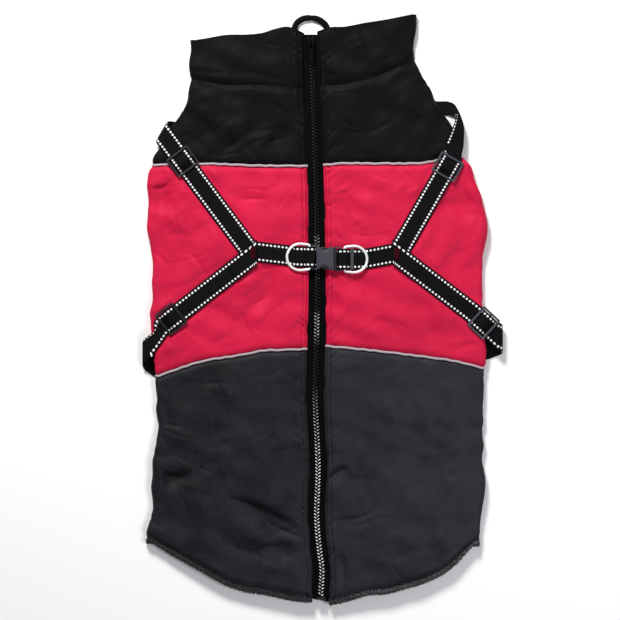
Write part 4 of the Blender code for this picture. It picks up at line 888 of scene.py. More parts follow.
def front_grids(side, upper, lower, rows, across_count, strength, rise=0.0):
    """Outer and inner points of a front piece.

    The outer face runs at surface() plus relief() from the zip to the side, then round a half
    circle whose radius is half the height there, then flat under the coat. The inner face lies
    at the lining. Rows run straight between the upper and the lower curve. Under the coat the upper
    edge climbs by the rise, so that it follows the edge above it.
    """
    flat = top_shares(across_count)
    turned = np.linspace(0.0, math.pi, TURN_STEPS)[1:]
    angles = np.concatenate([np.zeros(len(flat)), turned, np.full(UNDER_STEPS, math.pi)])
    shares = np.concatenate([flat, np.ones(len(angles) - len(flat))])
    run = np.linspace(0.0, UNDER_WIDTH, UNDER_STEPS + 1)[1:]
    under = np.concatenate([np.zeros(len(shares) - UNDER_STEPS), run])
    drop = rows[:, None]
    y = (upper(shares) + rise * under / UNDER_WIDTH)[None] * (1.0 - drop) + lower(shares)[None] * drop
    share = np.broadcast_to(shares, y.shape)
    start, end = zip_edge(side, y), fold_x(side, y)
    x = start + (end - start) * share
    top = surface(side, share, x, y)
    press = trough(side, y)
    radius, centre = (top - press) / 2, (top + press) / 2
    unrolled = x + side * radius * angles
    fine = relief(side, share, unrolled, y, strength)
    fine = fine * (1.0 - ease((angles - 1.9) / 0.9))
    on_top = np.arange(len(shares)) < len(flat)
    out = side * (radius + np.where(on_top, 0.0, fine)) * np.sin(angles) - side * under
    height = np.where(on_top, top + fine, centre + (radius + fine) * np.cos(angles))
    outer = np.stack([x + out, y, np.maximum(height, press * (angles > 3.0))], -1)
    inner_z = np.where(on_top, LINING_HEIGHT, FOLD_RADIUS + LINING_RADIUS * np.cos(angles))
    inner_x = x + side * (LINING_RADIUS * np.sin(angles) - under)
    inner = np.stack([inner_x, y, np.broadcast_to(inner_z, y.shape)], -1)
    return outer, inner


def cut_of(outer):
    """The flat cut of a grid of cloth, in metres: its longest row, its longest column and its area."""
    wide = np.linalg.norm(np.diff(outer, axis=1), axis=2).sum(axis=1).max() * MM
    long = np.linalg.norm(np.diff(outer, axis=0), axis=2).sum(axis=0).max() * MM
    a, b = outer[1:, :-1] - outer[:-1, :-1], outer[:-1, 1:] - outer[:-1, :-1]
    area = np.linalg.norm(np.cross(a, b), axis=2).sum() * MM * MM
    return (float(wide), float(long)), float(min(area, wide * long))


FrontPiece = namedtuple("FrontPiece", "word pitch finish slot thread")
FRONT_PIECES = (
    FrontPiece("collar", 1.3, "black_shell", "black_shell", "black_thread"),
    FrontPiece("yoke", 1.3, "black_shell", "black_shell", "black_thread"),
    FrontPiece("red", 1.35, "red_shell", "red_shell", "red_thread"),
    # the lower piece wears the black shell with a painted sheen
    FrontPiece("lower", 1.4, "black_lower", "black_shell", "black_thread"),
)


def front_curves(word, side):
    """The upper and lower seam line of a front piece, half a seam gap inside them."""
    half = SEAM_GAP / 2
    band = lambda u: HEM_CURVE[side](u) + HEM_BAND
    upper, lower = {
        "collar": (TOP_CURVE[side], COLLAR_CURVE[side]),
        "yoke": (COLLAR_CURVE[side], UPPER_CURVE[side]),
        "red": (UPPER_CURVE[side], LOWER_CURVE[side]),
        "lower": (LOWER_CURVE[side], band),
        "hem": (band, HEM_CURVE[side]),
    }[word]
    return (lambda u: upper(u) - half), (lambda u: lower(u) + half)


def stitch_line(side, strength, x, y, finish, name):
    """A row of small stitches on the padded top along a line of places."""
    start, end = zip_edge(side, y), fold_x(side, y)
    share = np.clip((x - start) / (end - start), 0.0, 1.0)
    z = surface(side, share, x, y) + relief(side, share, x, y, strength) + 0.12
    forward = np.gradient(np.column_stack([x, y]), axis=0)
    climb = np.gradient(z, np.hypot(*forward.T).cumsum())
    piece = beads(name, np.column_stack([x, y, z]), np.column_stack([forward, climb]), STITCH_SIZE)
    return dress(piece, finish)


def build_front(front, side, strength):
    """One front piece with its row of topstitching beside the zip."""
    upper, lower = front_curves(front.word, side)
    height = float(np.mean(upper(np.linspace(0, 1, 9)) - lower(np.linspace(0, 1, 9))))
    rows = row_places(height, front.pitch)
    rise = float(upper(UNDER_SHARE) - upper(1.0)) if front.word == "collar" else 0.0
    outer, inner = front_grids(side, upper, lower, rows, FRONT_COLUMNS, strength, rise)
    node = f"{front.word}_{WORD[side]}"
    piece = wall(f"{node}_cloth", outer, inner)
    dress(piece, front.finish, nodes=[node])
    y = np.arange(float(upper(0.03)) - 2.5, float(lower(0.03)) + 1.5, -STITCH_PITCH)
    x = zip_edge(side, y) + side * TOPSTITCH
    stitches = stitch_line(side, strength, x, y, front.thread, f"{node}_topstitch")


def nap(name, roots, ahead, length, thick):
    """Short curved hairs: each a three-sided spike of two rings and a tip that leans on past them."""
    ahead = ahead / np.linalg.norm(ahead, axis=1)[:, None]
    cross = np.cross(ahead, (0.3, 0.2, 1.0))
    cross /= np.linalg.norm(cross, axis=1)[:, None]
    turn = np.array([0.0, 2.0, 4.0]) * math.pi / 3.0
    ring = cross[:, None] * np.cos(turn)[None, :, None]
    ring = ring + np.cross(cross, ahead)[:, None] * np.sin(turn)[None, :, None]
    middle = roots + ahead * (0.55 * length)[:, None]
    tip = middle + (0.45 * length)[:, None] * (ahead + 0.8 * cross)
    waist = middle[:, None] + ring * thick * 0.75
    points = np.concatenate([roots[:, None] + ring * thick, waist, tip[:, None]], axis=1)
    points[..., 2] = np.maximum(points[..., 2], 0.05)
    edges = [(k, (k + 1) % 3) for k in range(3)]
    body = [(2, 1, 0)] + [(a, b, b + 3) for a, b in edges] + [(a, b + 3, a + 3) for a, b in edges]
    body = np.array(body + [(a + 3, b + 3, 6) for a, b in edges])
    return settle(name, points, (body[None] + (np.arange(len(roots)) * 7)[:, None, None]).reshape(-1, 3))


def build_nap(side, outer):
    """The fleece's nap: hairs at seeded random places of the hem's grid, leaning off it and outwards."""
    spread = np.random.default_rng(5 + side)
    columns = 3 + (spread.uniform(0.0, 1.0, NAP_HAIRS) * (outer.shape[1] - 12)).astype(int)
    rows = 2 + (spread.uniform(0.0, 1.0, NAP_HAIRS) ** 0.7 * (outer.shape[0] - 2)).astype(int)
    scatter = spread.normal(0.0, 0.3, (NAP_HAIRS, 3)) * (1.0, 0.4, 0.1)
    roots = outer[np.minimum(rows, outer.shape[0] - 1), columns] + scatter
    lean = spread.normal(0.0, 0.55, (NAP_HAIRS, 3)) + (0.0, -0.55, 0.75)
    hairs = nap(f"hem_{WORD[side]}_nap", roots, lean, spread.uniform(0.9, 2.3, NAP_HAIRS), 0.2)
    return dress(hairs, "nap")


def build_hem(side, strength):
    """The bound fleece edge: the same grid below the hem seam, with the fleece's own tight bumps."""
    word = WORD[side]
    upper, lower = front_curves("hem", side)
    down = np.linspace(0.0, 1.0, HEM_ROWS)
    outer, inner = front_grids(side, upper, lower, down, HEM_COLUMNS, strength)
    x, y = outer[..., 0], outer[..., 1]
    curl = np.sin(x * 2.1 + 2.0 * np.sin(y * 1.7)) * np.sin(y * 2.6 + 1.5 * np.sin(x * 0.9))
    curl = curl + 0.6 * np.sin(x * 3.7 + y * 3.1)
    inside = np.sin(np.linspace(0.0, math.pi, HEM_ROWS))[:, None]
    roll = down[:, None]
    dip = 1.8 * roll ** 3 * (outer[..., 2] > 4.0)
    outer[..., 2] = np.maximum(outer[..., 2] + 0.28 * curl * inside - dip, 0.0)
    outer[..., 1] += 0.25 * np.sin(x * 1.3 + 1.1 * np.sin(x * 0.37)) * roll
    piece = wall(f"hem_{word}_cloth", outer, inner)
    dress(piece, "fleece", nodes=[f"hem_{word}"])
    share = np.linspace(0.02, 0.985, 48)
    line = HEM_CURVE[side](share) + HEM_BAND + 1.6
    x = zip_edge(side, line) + (fold_x(side, line) - zip_edge(side, line)) * share
    stitches = stitch_line(side, strength, x, line, "black_thread", f"hem_{word}_topstitch")
    (long, wide), area = cut_of(outer)
    wide = max(wide, HEM_CUT_LEAST)
    build_nap(side, outer)


def build_piping(side, level, curves, strength):
    """Round piping on a colour seam: the seam's line, lifted clear of it and carried round the side fold."""
    shares = np.concatenate([np.linspace(0.0, 1.0, 110), np.ones(8)])
    angles = np.concatenate([np.zeros(110), np.linspace(0.0, math.radians(72.0), 9)[1:]])
    y = curves[side](shares) + 0.25 * np.sin(shares * 61.0 + 1.3 * np.sin(shares * 23.0))
    start, end = zip_edge(side, y), fold_x(side, y)
    x = start + (end - start) * shares
    top = surface(side, shares, x, curves[side](shares) + PIPING_WIDTH / 2) + PIPING_CLEAR + PIPING_THICK / 2
    top = top + strength * swell(side, shares, x, y) * clear_of_web(x, y)
    centre = (top + trough(side, y)) / 2
    radius = top - centre
    path = np.stack([x + side * radius * np.sin(angles), y, centre + radius * np.cos(angles)], -1)
    up = np.stack([side * np.sin(angles), np.zeros(len(angles)), np.cos(angles)], -1)
    node = f"piping_{level}_{WORD[side]}"
    piece = tube(f"{node}_cord", sweep(path, 1.15, PIPING_THICK / 2, 10, up))
    dress(piece, "reflective", nodes=[node])


# ---------------------------------------------------------------- belly side
def build_underside():
    """Cloth for the flat belly side, whose solids show as they are, and bindings round the leg holes."""
    # the belly panel wears the black shell with a painted sheen
    for node, finish in (("belly_panel", "black_lower"), ("collar_back", "black_shell")):
        paint(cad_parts[node], finish)
    for word in WORD.values():
        low, high = box_of(f"leg_binding_{word}")
        middle, half = (low + high) / 2, (high - low) / 2
        turn = np.linspace(0.0, 2.0 * math.pi, 96, endpoint=False)
        reach = half[:2] - 1.5
        path = np.stack([middle[0] + reach[0] * np.cos(turn), middle[1] + reach[1] * np.sin(turn),
                         np.full(96, middle[2])], -1)
        rings = sweep(path, 1.6, half[2], 12, closed=True)
        rings[..., 2] += 0.06 * np.sin(turn * 57.0)[:, None]
        piece = tube(f"leg_binding_{word}_roll", rings, closed=True)
        dress(piece, "fleece", nodes=[f"leg_binding_{word}"])


# ---------------------------------------------------------------- zip
def zip_strip(name, near, far, height, thick, crowned):
    """A strip along the zip's line between two offsets from it, with a woven cord edge if crowned."""
    y = np.linspace(ZIP_TOP, ZIP_BOTTOM, 280)
    middle = ZIP_X(y)
    t = np.linspace(0.0, 1.0, 14)[None, :]
    a, b = near(y)[:, None], far(y)[:, None]
    x = middle[:, None] + a + (b - a) * t
    lift = crowned * np.exp(-((t - 0.12) / 0.1) ** 2) + 0.12 * np.cos(t * 2 * math.pi * 4)
    ripple = 0.12 * np.sin(y / 3.1 + 1.2 * np.sin(y / 11.0))[:, None]
    outer = np.stack([x, np.broadcast_to(y[:, None], x.shape), height + thick + lift + ripple], -1)
    inner = np.stack([x, np.broadcast_to(y[:, None], x.shape), np.full(x.shape, height)], -1)
    return wall(name, outer, inner)


def build_zip():
    """Two tapes, the coil's teeth in two offset rows, the slider with its bail, the box and the pull tab."""
    for side, word in WORD.items():
        tape = zip_strip(f"zip_tape_{word}_weave", lambda y, s=side: np.full(y.shape, s * 2.9),
                         lambda y, s=side: s * (ZIP_HALF(y) + 0.6), TAPE_HEIGHT, TAPE_THICK, 0.5)
        dress(tape, "tape", nodes=[f"zip_tape_{word}"])
    y = np.arange(ZIP_TOP - 1.5, ZIP_BOTTOM + 1.0, -TOOTH_PITCH / 2)
    sign = np.where(np.arange(len(y)) % 2 == 0, 1.0, -1.0)
    slope = np.gradient(ZIP_X(y), y)
    tooth = np.column_stack([ZIP_X(y) + sign * 1.5, y, np.full(len(y), CHAIN_HEIGHT + 0.45)])
    ahead = np.column_stack([np.ones(len(y)), 0.7 * sign - slope, np.zeros(len(y))])
    teeth = beads("zip_teeth", tooth, ahead, TOOTH_SIZE)
    dress(teeth, "teeth", nodes=["zip_chain"])
    spine_y = np.linspace(ZIP_TOP, ZIP_BOTTOM, 200)
    spine = np.column_stack([ZIP_X(spine_y), spine_y, np.full(200, CHAIN_HEIGHT - 0.45)])
    cord = tube("zip_core", sweep(spine, 2.7, 0.8, 10))
    dress(cord, "tape")
    build_slider()


def build_slider():
    """The slider: a shield-shaped upper plate, an arched bail over it, and the pull tab on the bail."""
    base = float(box_of("zip_slider")[0][2])
    middle = float(ZIP_X(SLIDER_Y))
    top = base + 1.8
    half, length = 4.0, 5.5
    outline = [(-half, length - 1.0), (-half + 1.2, length), (-1.0, length), (0.0, length - 1.4),
               (1.0, length), (half - 1.2, length), (half, length - 1.0), (half - 0.6, -length + 1.2),
               (half - 1.8, -length), (-half + 1.8, -length), (-half + 0.6, -length + 1.2)]
    shield = prism([(middle + x, SLIDER_Y + y) for x, y in outline], base, top)
    body = bevelled(from_faces("zip_slider_body", *shield), 0.4)
    dress(body, "dark_metal", nodes=["zip_slider"])
    axis = top + SEAM_GAP + 0.84
    t = np.linspace(0.0, math.pi, 17)
    arch = np.column_stack([np.full(17, middle), SLIDER_Y + 3.5 * np.cos(t),
                            top - 0.2 + 3.0 * np.sin(t) ** 0.6])
    bail = tube("zip_bail", sweep(arch, 0.8, 0.5, 10, (1.0, 0.0, 0.0)))
    dress(bail, "dark_metal")
    bar, slot_half, wide, long = 0.6, 1.3, 2.5, 19.0
    plate = ring_plate("zip_pull_tab", (-wide, -slot_half, slot_half, wide), (-long, -6.2, -bar, bar),
                       ((1, 1),), -bar, bar, lambda p: (middle + p[0], SLIDER_Y + p[1], axis + p[2]))
    dress(bevelled(plate, 0.35), "dark_metal", "zip_pull", nodes=["zip_pull"])
    paint(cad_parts["zip_box"], "black_plastic")


def ring_plate(name, xs, ys, slots, low, high, place):
    """A plate on a grid of cells, some left open: two faces for each cell and one for each open side."""
    filled = {(i, j) for i in range(len(xs) - 1) for j in range(len(ys) - 1)} - set(slots)
    index, points, faces = {}, [], []

    def corner(i, j, top):
        if (i, j, top) not in index:
            index[(i, j, top)] = len(points)
            points.append(place((xs[i], ys[j], high if top else low)))
        return index[(i, j, top)]

    for i, j in sorted(filled):
        loop = ((i, j), (i + 1, j), (i + 1, j + 1), (i, j + 1))
        faces.append([corner(*c, True) for c in loop])
        faces.append([corner(*c, False) for c in reversed(loop)])
        for k, step in enumerate(((0, -1), (1, 0), (0, 1), (-1, 0))):
            if (i + step[0], j + step[1]) not in filled:
                a, b = loop[k], loop[(k + 1) % 4]
                faces.append([corner(*a, False), corner(*b, False), corner(*b, True), corner(*a, True)])
    return from_faces(name, points, faces)


def build_hang_loop():
    """The hang loop: an oval cord along a smooth line, sewn in at the collar's top edge."""
    keys = np.linspace(0.0, 1.0, len(LOOP_POINTS))
    t = np.linspace(0.0, 1.0, 90)
    x = smooth_line(keys, [p[0] for p in LOOP_POINTS])(t)
    y = smooth_line(keys, [p[1] for p in LOOP_POINTS])(t)
    y[0] = y[-1] = 276.4
    nick = 1.0 - 0.16 * np.exp(-((t - 0.5) / 0.03) ** 2)
    rings = sweep(np.column_stack([x, y, np.full(90, LOOP_HEIGHT)]), 3.0, 1.9, 14)
    middle = rings.mean(axis=1, keepdims=True)
    rings = middle + (rings - middle) * (nick * (1.0 + 0.04 * np.sin(t * 160.0)))[:, None, None]
    dress(tube("hang_loop_cord", rings), "cord", nodes=["hang_loop"])


# ---------------------------------------------------------------- harness webbing
PLACES = np.array((1.0, 0.96, 0.86, 0.7, 0.5, 0.25, 0.0, -0.25, -0.5, -0.7, -0.86, -0.96, -1.0))


def web_wall(name, columns, finish, nodes, bare=0.0):
    """Webbing of even thickness through columns of middle points, thinner at its two edges.

    Its UV map holds, in millimetres, the distance from the middle line and the distance along it. Where
    bare is 1 the distance from the middle line is drawn in by 0.45 of itself, clear of the stitched rows.
    """
    grid = np.stack(columns, axis=1)
    normal = np.cross(np.gradient(grid, axis=1), np.gradient(grid, axis=0))
    normal /= np.maximum(np.linalg.norm(normal, axis=2), 1e-9)[:, :, None]
    half = WEB_THICK / 2 * (1.0 - 0.75 * np.abs(PLACES) ** 14)[None, :, None]
    step = np.linalg.norm(np.diff(grid[:, len(PLACES) // 2], axis=0), axis=1)
    along = np.concatenate([[0.0], np.cumsum(step)])
    from_middle = PLACES[None, :] * WEB_WIDTH / 2 * (1.0 - 0.45 * np.asarray(bare))
    uv = np.stack(np.broadcast_arrays(from_middle, along[:, None]), -1)
    piece = wall(name, grid + normal * half, grid - normal * half, uv)
    dress(piece, finish, nodes=nodes)


def route_stations(points, glide_at, step=1.5):
    """Places, directions and distances along straight stretches, closer together at an adjuster."""
    points = np.asarray(points, dtype=float)
    legs = np.linalg.norm(np.diff(points, axis=0), axis=1)
    gone = np.concatenate([[0.0], np.cumsum(legs)])
    at = distance_to(points, glide_at)
    dists = np.unique(np.round(np.concatenate([np.arange(0.0, gone[-1], step), [gone[-1]],
                                               at + np.linspace(-12.0, 12.0, 41)]), 3))
    dists = dists[(dists >= 0.0) & (dists <= gone[-1])]
    spots = np.stack([np.interp(dists, gone, points[:, k]) for k in (0, 1)], -1)
    way = np.stack([np.interp(dists + d, gone, points[:, k]) for d in (-3.0, 3.0) for k in (0, 1)], -1)
    way = way[:, 2:] - way[:, :2]
    way /= np.linalg.norm(way, axis=1)[:, None]
    return spots, way, dists, at


def distance_to(points, target):
    """How far along a route its point nearest to the target lies."""
    points, target = np.asarray(points, dtype=float), np.asarray(target, dtype=float)
    legs = np.diff(points, axis=0)
    lengths = np.linalg.norm(legs, axis=1)
    t = np.clip(((target - points[:-1]) * legs).sum(axis=1) / lengths ** 2, 0.0, 1.0)
    off = np.linalg.norm(points[:-1] + legs * t[:, None] - target, axis=1)
    best = int(np.argmin(off))
    return float(lengths[:best].sum() + t[best] * lengths[best])


def curled(place, past, curl):
    """A place across the webbing once its outer edge has curled in past the adjuster."""
    share = curl if place < 0.0 else 0.0
    return place * (1.0 - share * ease((past - CURL_START) / CURL_RAMP))


def flat_columns(points, glide_at, lift=0.0, end_cut=None, curl=0.0):
    """Columns of webbing on the coat: its route moved sideways, climbing over an adjuster's bar."""
    spots, way, dists, at = route_stations(points, glide_at)
    climb = GLIDE_RISE * ease((9.4 - np.abs(dists - at)) / 8.2)
    raised = lift * ease((LIFT_LENGTH + LIFT_RAMP - dists) / LIFT_RAMP)
    columns = []
    for place in PLACES:
        reach = curled(place, dists - at, curl)[:, None] * WEB_WIDTH / 2
        plan = spots + np.stack([-way[:, 1], way[:, 0]], -1) * reach
        if end_cut is not None:
            slide = (plan[0, 0] - end_cut) / way[0, 0]
            fade = np.clip(1.0 - dists / 14.0, 0.0, 1.0)[:, None]
            plan = plan - way[0] * slide * fade
        sag = 0.22 * np.sin(dists / 17.0 + place) * np.abs(place)
        height = crown(plan[:, 0], plan[:, 1]) + WEB_MID + climb + raised - np.abs(sag) * 0.6
        columns.append(np.column_stack([plan, height]))
    return columns


def wrap_columns(key, start, way, top):
    """Columns of webbing that turns round the side.

    In plan and height it is a half ellipse across the side's edge, run through at each column's own
    distance, because the webbing slants.
    """
    side, wrap = key[1], WRAPS[key]
    edge = np.array(wrap.edge)
    out = np.array((edge[1], -edge[0])) * side * -1.0
    forward, along = float(np.dot(way, out)), float(np.dot(way, edge))
    reach, tall = wrap.reach, (top - WRAP_LOW) / 2
    turn_length = math.pi * math.sqrt((reach ** 2 + tall ** 2) / 2)
    lead = abs(along) * WEB_WIDTH / 2 + 0.5
    travel = np.linspace(-lead, turn_length + wrap.under, 70)
    past = travel + math.hypot(start[0] - GLIDE_AT[key][0], start[1] - GLIDE_AT[key][1])
    columns = []
    for place in PLACES:
        shift = curled(place, past, wrap.curl) * WEB_WIDTH / 2 * side
        s = travel + shift * along
        t = (travel - (1.0 - wrap.slant) * np.maximum(s, 0.0)) * along / forward - shift * forward
        angle = np.clip(s / turn_length, 0.0, 1.0) * math.pi
        off = np.where(s < 0.0, s, np.where(s > turn_length, turn_length - s, reach * np.sin(angle)))
        plan = np.array(start)[None] + t[:, None] * edge[None] + off[:, None] * out[None]
        on_coat = crown(plan[:, 0], plan[:, 1]) + WEB_MID
        height = np.where(s < 0.0, on_coat, WRAP_LOW + tall + tall * np.cos(angle))
        columns.append(np.column_stack([plan, height]))
    return columns


def build_wrapped_webbing(level, side):
    """An upper or lower strap: over the coat from its junction, round the side and under it."""
    key, node = (level, side), f"strap_{level}_{WORD[side]}"
    route, wrap = ROUTES[level][side], WRAPS[key]
    way = np.array(route[-1]) - np.array(route[-2])
    way /= np.linalg.norm(way)
    lead = abs(float(np.dot(way, wrap.edge))) * WEB_WIDTH / 2 + 0.5
    flat_end = tuple(np.array(route[-1]) - way * lead)
    lift, cut = (LAYER_STEP, route[0][0]) if level == "lower" else (0.0, None)
    flat = flat_columns(route[:-1] + (flat_end,), GLIDE_AT[key], lift, cut, wrap.curl)
    turned = wrap_columns(key, route[-1], way, SIDE_HEIGHT + WEB_MID)
    columns = [np.concatenate([a[:-1], b]) for a, b in zip(flat, turned)]
    bare = ease((np.arange(len(columns[0])) - len(flat[0]) - 22.0) / 6.0)[:, None]
    finish = "webbing_close" if level == "upper" else "webbing"
    web_wall(f"{node}_web", columns, finish, [node], bare)


def build_twisted_webbing():
    """The right upper strap: its two edges run smoothly through the twist's rows, the rest between them."""
    flat = flat_columns(UPPER_ROUTE[1] + ((137.0, 156.0),), GLIDE_AT[("upper", 1)])
    head = np.stack([flat[0][-14::4], flat[-1][-14::4]], axis=1).reshape(-1, 6)
    rows = np.concatenate([head[:-1], np.array(TWIST_ROWS)])
    steps = np.linalg.norm(np.diff(rows[:, :3] + rows[:, 3:], axis=0), axis=1) / 2
    keys = np.concatenate([[0.0], np.cumsum(steps)])
    t = np.linspace(0.0, keys[-1], 120)
    fine = np.stack([smooth_line(keys, rows[:, k])(t) for k in range(6)], -1)
    columns = []
    for place, start in zip(PLACES, flat):
        share = (1.0 - place) / 2.0
        turned = fine[:, :3] * (1.0 - share) + fine[:, 3:] * share
        columns.append(np.concatenate([start[:-14], turned]))
    station = np.arange(len(columns[0]))[:, None] - len(flat[0])
    bare = np.maximum(ease((station + 14.0) / 4.0) * (PLACES < 0.0)[None, :], ease((station - 52.0) / 8.0))
    web_wall("strap_upper_right_web", columns, "webbing_close", ["strap_upper_right"], bare)


def middle_y(side, x):
    """Height up the coat of a middle strap's centre line, run on straight past its first point."""
    route = list(MIDDLE_ROUTE[side])
    (x0, y0), (x1, y1) = route[:2]
    route = sorted([(x0 + side * 6.0, y0 + side * 6.0 * (y1 - y0) / (x1 - x0))] + route)
    return np.interp(x, [p[0] for p in route], [p[1] for p in route])


def build_middle_webbing(side):
    """A middle strap: along the coat, half a circle round the buckle's bar and back over the ring's bar."""
    node = f"strap_middle_{WORD[side]}"
    start, bar, ring, tail = MIDDLE_ROUTE[side][0][0], BUCKLE_BAR_X[side], RING_BAR_X[side], TAIL_END_X[side]
    high, rest = WEB_MID + 2 * TURN_RADIUS, WEB_MID + LAYER_STEP
    turn = np.linspace(-math.pi / 2, math.pi / 2, 20)[1:]
    tuck = start + side * TUCK
    first = np.linspace(tuck, bar, 44)
    x = np.concatenate([first, bar - side * TURN_RADIUS * np.cos(turn)])
    low = WEB_MID - 0.45 * ease((side * (first - start) + 2.0) / 3.0)
    z = np.concatenate([low, WEB_MID + TURN_RADIUS + TURN_RADIUS * np.sin(turn)])
    back = np.linspace(0.0, 1.0, 40)[1:]
    x_back = x[-1] + (tail - x[-1]) * back
    drop = ease((side * (x_back - ring) - 0.8) / 5.0)
    x, z = np.concatenate([x, x_back]), np.concatenate([z, high + (rest - high) * drop])
    centre = middle_y(side, x)
    columns = [np.column_stack([x, centre + place * WEB_WIDTH / 2, crown(x, centre) + z]) for place in PLACES]
    web_wall(f"{node}_web", columns, "webbing", [node])


TACK_STITCHES = 26
Tack = namedtuple("Tack", "x y wide tall")
TACKS = (Tack(-65.0, 57.0, 5.4, 9.6), Tack(78.8, 56.0, 5.4, 9.6))


def build_tacks():
    """A dark red bar tack over each junction: close zigzag stitches across the webbing."""
    for k, tack in enumerate(TACKS):
        x = np.full(TACK_STITCHES, tack.x)
        y = tack.y + np.linspace(-tack.tall / 2, tack.tall / 2, TACK_STITCHES)
        sign = np.where(np.arange(TACK_STITCHES) % 2 == 0, 1.0, -1.0)
        centres = np.column_stack([x, y, crown(x, y) + WEB_TOP + LAYER_STEP + 0.25])
        ahead = np.column_stack([np.ones(TACK_STITCHES), 0.3 * sign, np.zeros(TACK_STITCHES)])
        piece = beads(f"bar_tack_{k}", centres, ahead, (tack.wide / 2, 0.34, 0.3), 0.9)
        dress(piece, "tack_thread")


# ---------------------------------------------------------------- hardware
def build_glide(level, side):
    """An adjuster: a slotted plate with rounded edges, tilted to lie on the coat along its webbing."""
    node = f"glide_{level}_{WORD[side]}"
    route, centre = np.asarray(ROUTES[level][side]), np.array(GLIDE_AT[(level, side)])
    gone = distance_to(route, centre)
    steps = np.concatenate([[0.0], np.cumsum(np.linalg.norm(np.diff(route, axis=0), axis=1))])
    ends = [np.array([np.interp(gone + d, steps, route[:, k]) for k in (0, 1)]) for d in (-4.0, 4.0)]
    way = (ends[1] - ends[0]) / np.linalg.norm(ends[1] - ends[0])
    cross = np.array((-way[1], way[0]))
    reach = GLIDE_LENGTH / 2
    z_ahead, z_behind = float(crown(*(centre + way * reach))), float(crown(*(centre - way * reach)))
    x_axis = np.array([*(2.0 * reach * way), z_ahead - z_behind])
    x_axis /= np.linalg.norm(x_axis)
    tilt = float(crown(*(centre + cross * 10.0)) - crown(*(centre - cross * 10.0))) / 20.0
    y_axis = np.array([*cross, tilt])
    y_axis /= np.linalg.norm(y_axis)
    z_axis = np.cross(x_axis, y_axis)
    origin = np.array((*centre, (z_ahead + z_behind) / 2))
    rail, low = GLIDE_WIDTH / 2, WEB_TOP + SEAM_GAP
    xs = (-reach, -reach + GLIDE_BAR, -1.2, 1.2, reach - GLIDE_BAR, reach)
    ys = (-rail, -rail + GLIDE_BAR, rail - GLIDE_BAR, rail)
    piece = ring_plate(f"{node}_plate", xs, ys, ((1, 1), (3, 1)), low, low + GLIDE_THICK,
                       lambda p: origin + x_axis * p[0] + y_axis * p[1] + z_axis * p[2])
    finish = "black_plastic" if side < 0 else "grey_plastic"
    dress(bevelled(piece, 0.55), finish, nodes=[node])


def build_ring(side):
    """A D-ring: round wire along a straight bar, two arms and a round end."""
    node, end = f"ring_{WORD[side]}", RING_LENGTH - RING_HALF
    arc = np.radians(np.linspace(78.0, -78.0, 29))
    corner = np.radians(np.linspace(0.0, 90.0, 5))
    top = [(1.6 - 1.6 * math.cos(a), RING_BAR_HALF - 1.6 + 1.6 * math.sin(a)) for a in corner]
    path = [(0.0, y) for y in np.linspace(-RING_BAR_HALF + 1.8, RING_BAR_HALF - 1.8, 9)] + top
    path += [(end * 0.4, RING_BAR_HALF + 0.4), (end, RING_HALF)]
    path += [(end + RING_HALF * math.cos(a), RING_HALF * math.sin(a)) for a in arc]
    path += [(end, -RING_HALF), (end * 0.4, -RING_BAR_HALF - 0.4)] + [(x, -y) for x, y in reversed(top)]
    x0 = RING_BAR_X[side]
    y0 = float(middle_y(side, x0))
    z0 = float(crown(x0, y0)) + RING_HEIGHT
    line = np.array([(x0 + side * x, y0 + y, z0) for x, y in path])
    piece = tube(f"{node}_wire", sweep(line, RING_WIRE, RING_WIRE, 14, closed=True), closed=True)
    dress(piece, "bright_metal", node, nodes=[node])


def buckle_place(points):
    """Carry buckle points onto the coat, tilted a little like the webbing."""
    middle = (BUCKLE_ENDS[0] + BUCKLE_ENDS[1]) / 2
    base = float(crown(middle, BUCKLE_Y))
    return [(x, y + BUCKLE_Y + (x - middle) * BUCKLE_SLOPE, z + base) for x, y, z in points]


def buckle_plate(name, outline, low, high, round_width=0.9):
    """A flat piece of the buckle with rounded edges."""
    points, faces = prism(outline, low, high)
    return bevelled(from_faces(name, buckle_place(points), faces), round_width)


def notched_outline():
    """The socket's outline: straight ends, and a circle's arc cut into each long side as a finger notch."""
    rise, half = NOTCH_RADIUS - NOTCH_DEPTH, BUCKLE_HALF
    chord = math.sqrt(NOTCH_RADIUS ** 2 - rise ** 2)
    start = math.asin(rise / NOTCH_RADIUS)
    points = [(BUCKLE_ENDS[0], half - 1.6), (BUCKLE_ENDS[0] + 1.4, half), (NOTCH_X - chord, half)]
    for angle in np.linspace(math.pi + start, 2.0 * math.pi - start, 15)[1:-1]:
        points.append((NOTCH_X + NOTCH_RADIUS * math.cos(angle),
                       half + rise + NOTCH_RADIUS * math.sin(angle)))
    points += [(NOTCH_X + chord, half), (BUCKLE_SPLIT - SEAM_GAP, half)]
    return points + [(x, -y) for x, y in reversed(points)]


def buckle_end(side):
    """A buckle's end bar and its two lugs, as rounded pieces."""
    x, word = BUCKLE_BAR_X[side], "socket" if side < 0 else "plug"
    body = BUCKLE_ENDS[0] if side < 0 else BUCKLE_ENDS[1]
    near, far = (x - 1.3, body + 1.0) if side < 0 else (body - 1.0, x + 1.3)
    for k, sign in enumerate((-1, 1)):
        a, b = sorted((sign * (WEB_WIDTH / 2 + 0.6), sign * (WEB_WIDTH / 2 + 1.9)))
        lug = buckle_plate(f"buckle_{word}_lug_{k}", [(near, a), (far, a), (far, b), (near, b)],
                           BAR_HEIGHT - 1.3, BAR_HEIGHT + 0.9, 0.35)
        dress(lug, "grey_plastic")
    reach = WEB_WIDTH / 2 + 1.2
    path = np.array(buckle_place([(x, -reach, BAR_HEIGHT), (x, 0.0, BAR_HEIGHT), (x, reach, BAR_HEIGHT)]))
    dress(tube(f"buckle_{word}_bar", sweep(path, 1.1, 1.1, 12)), "grey_plastic")


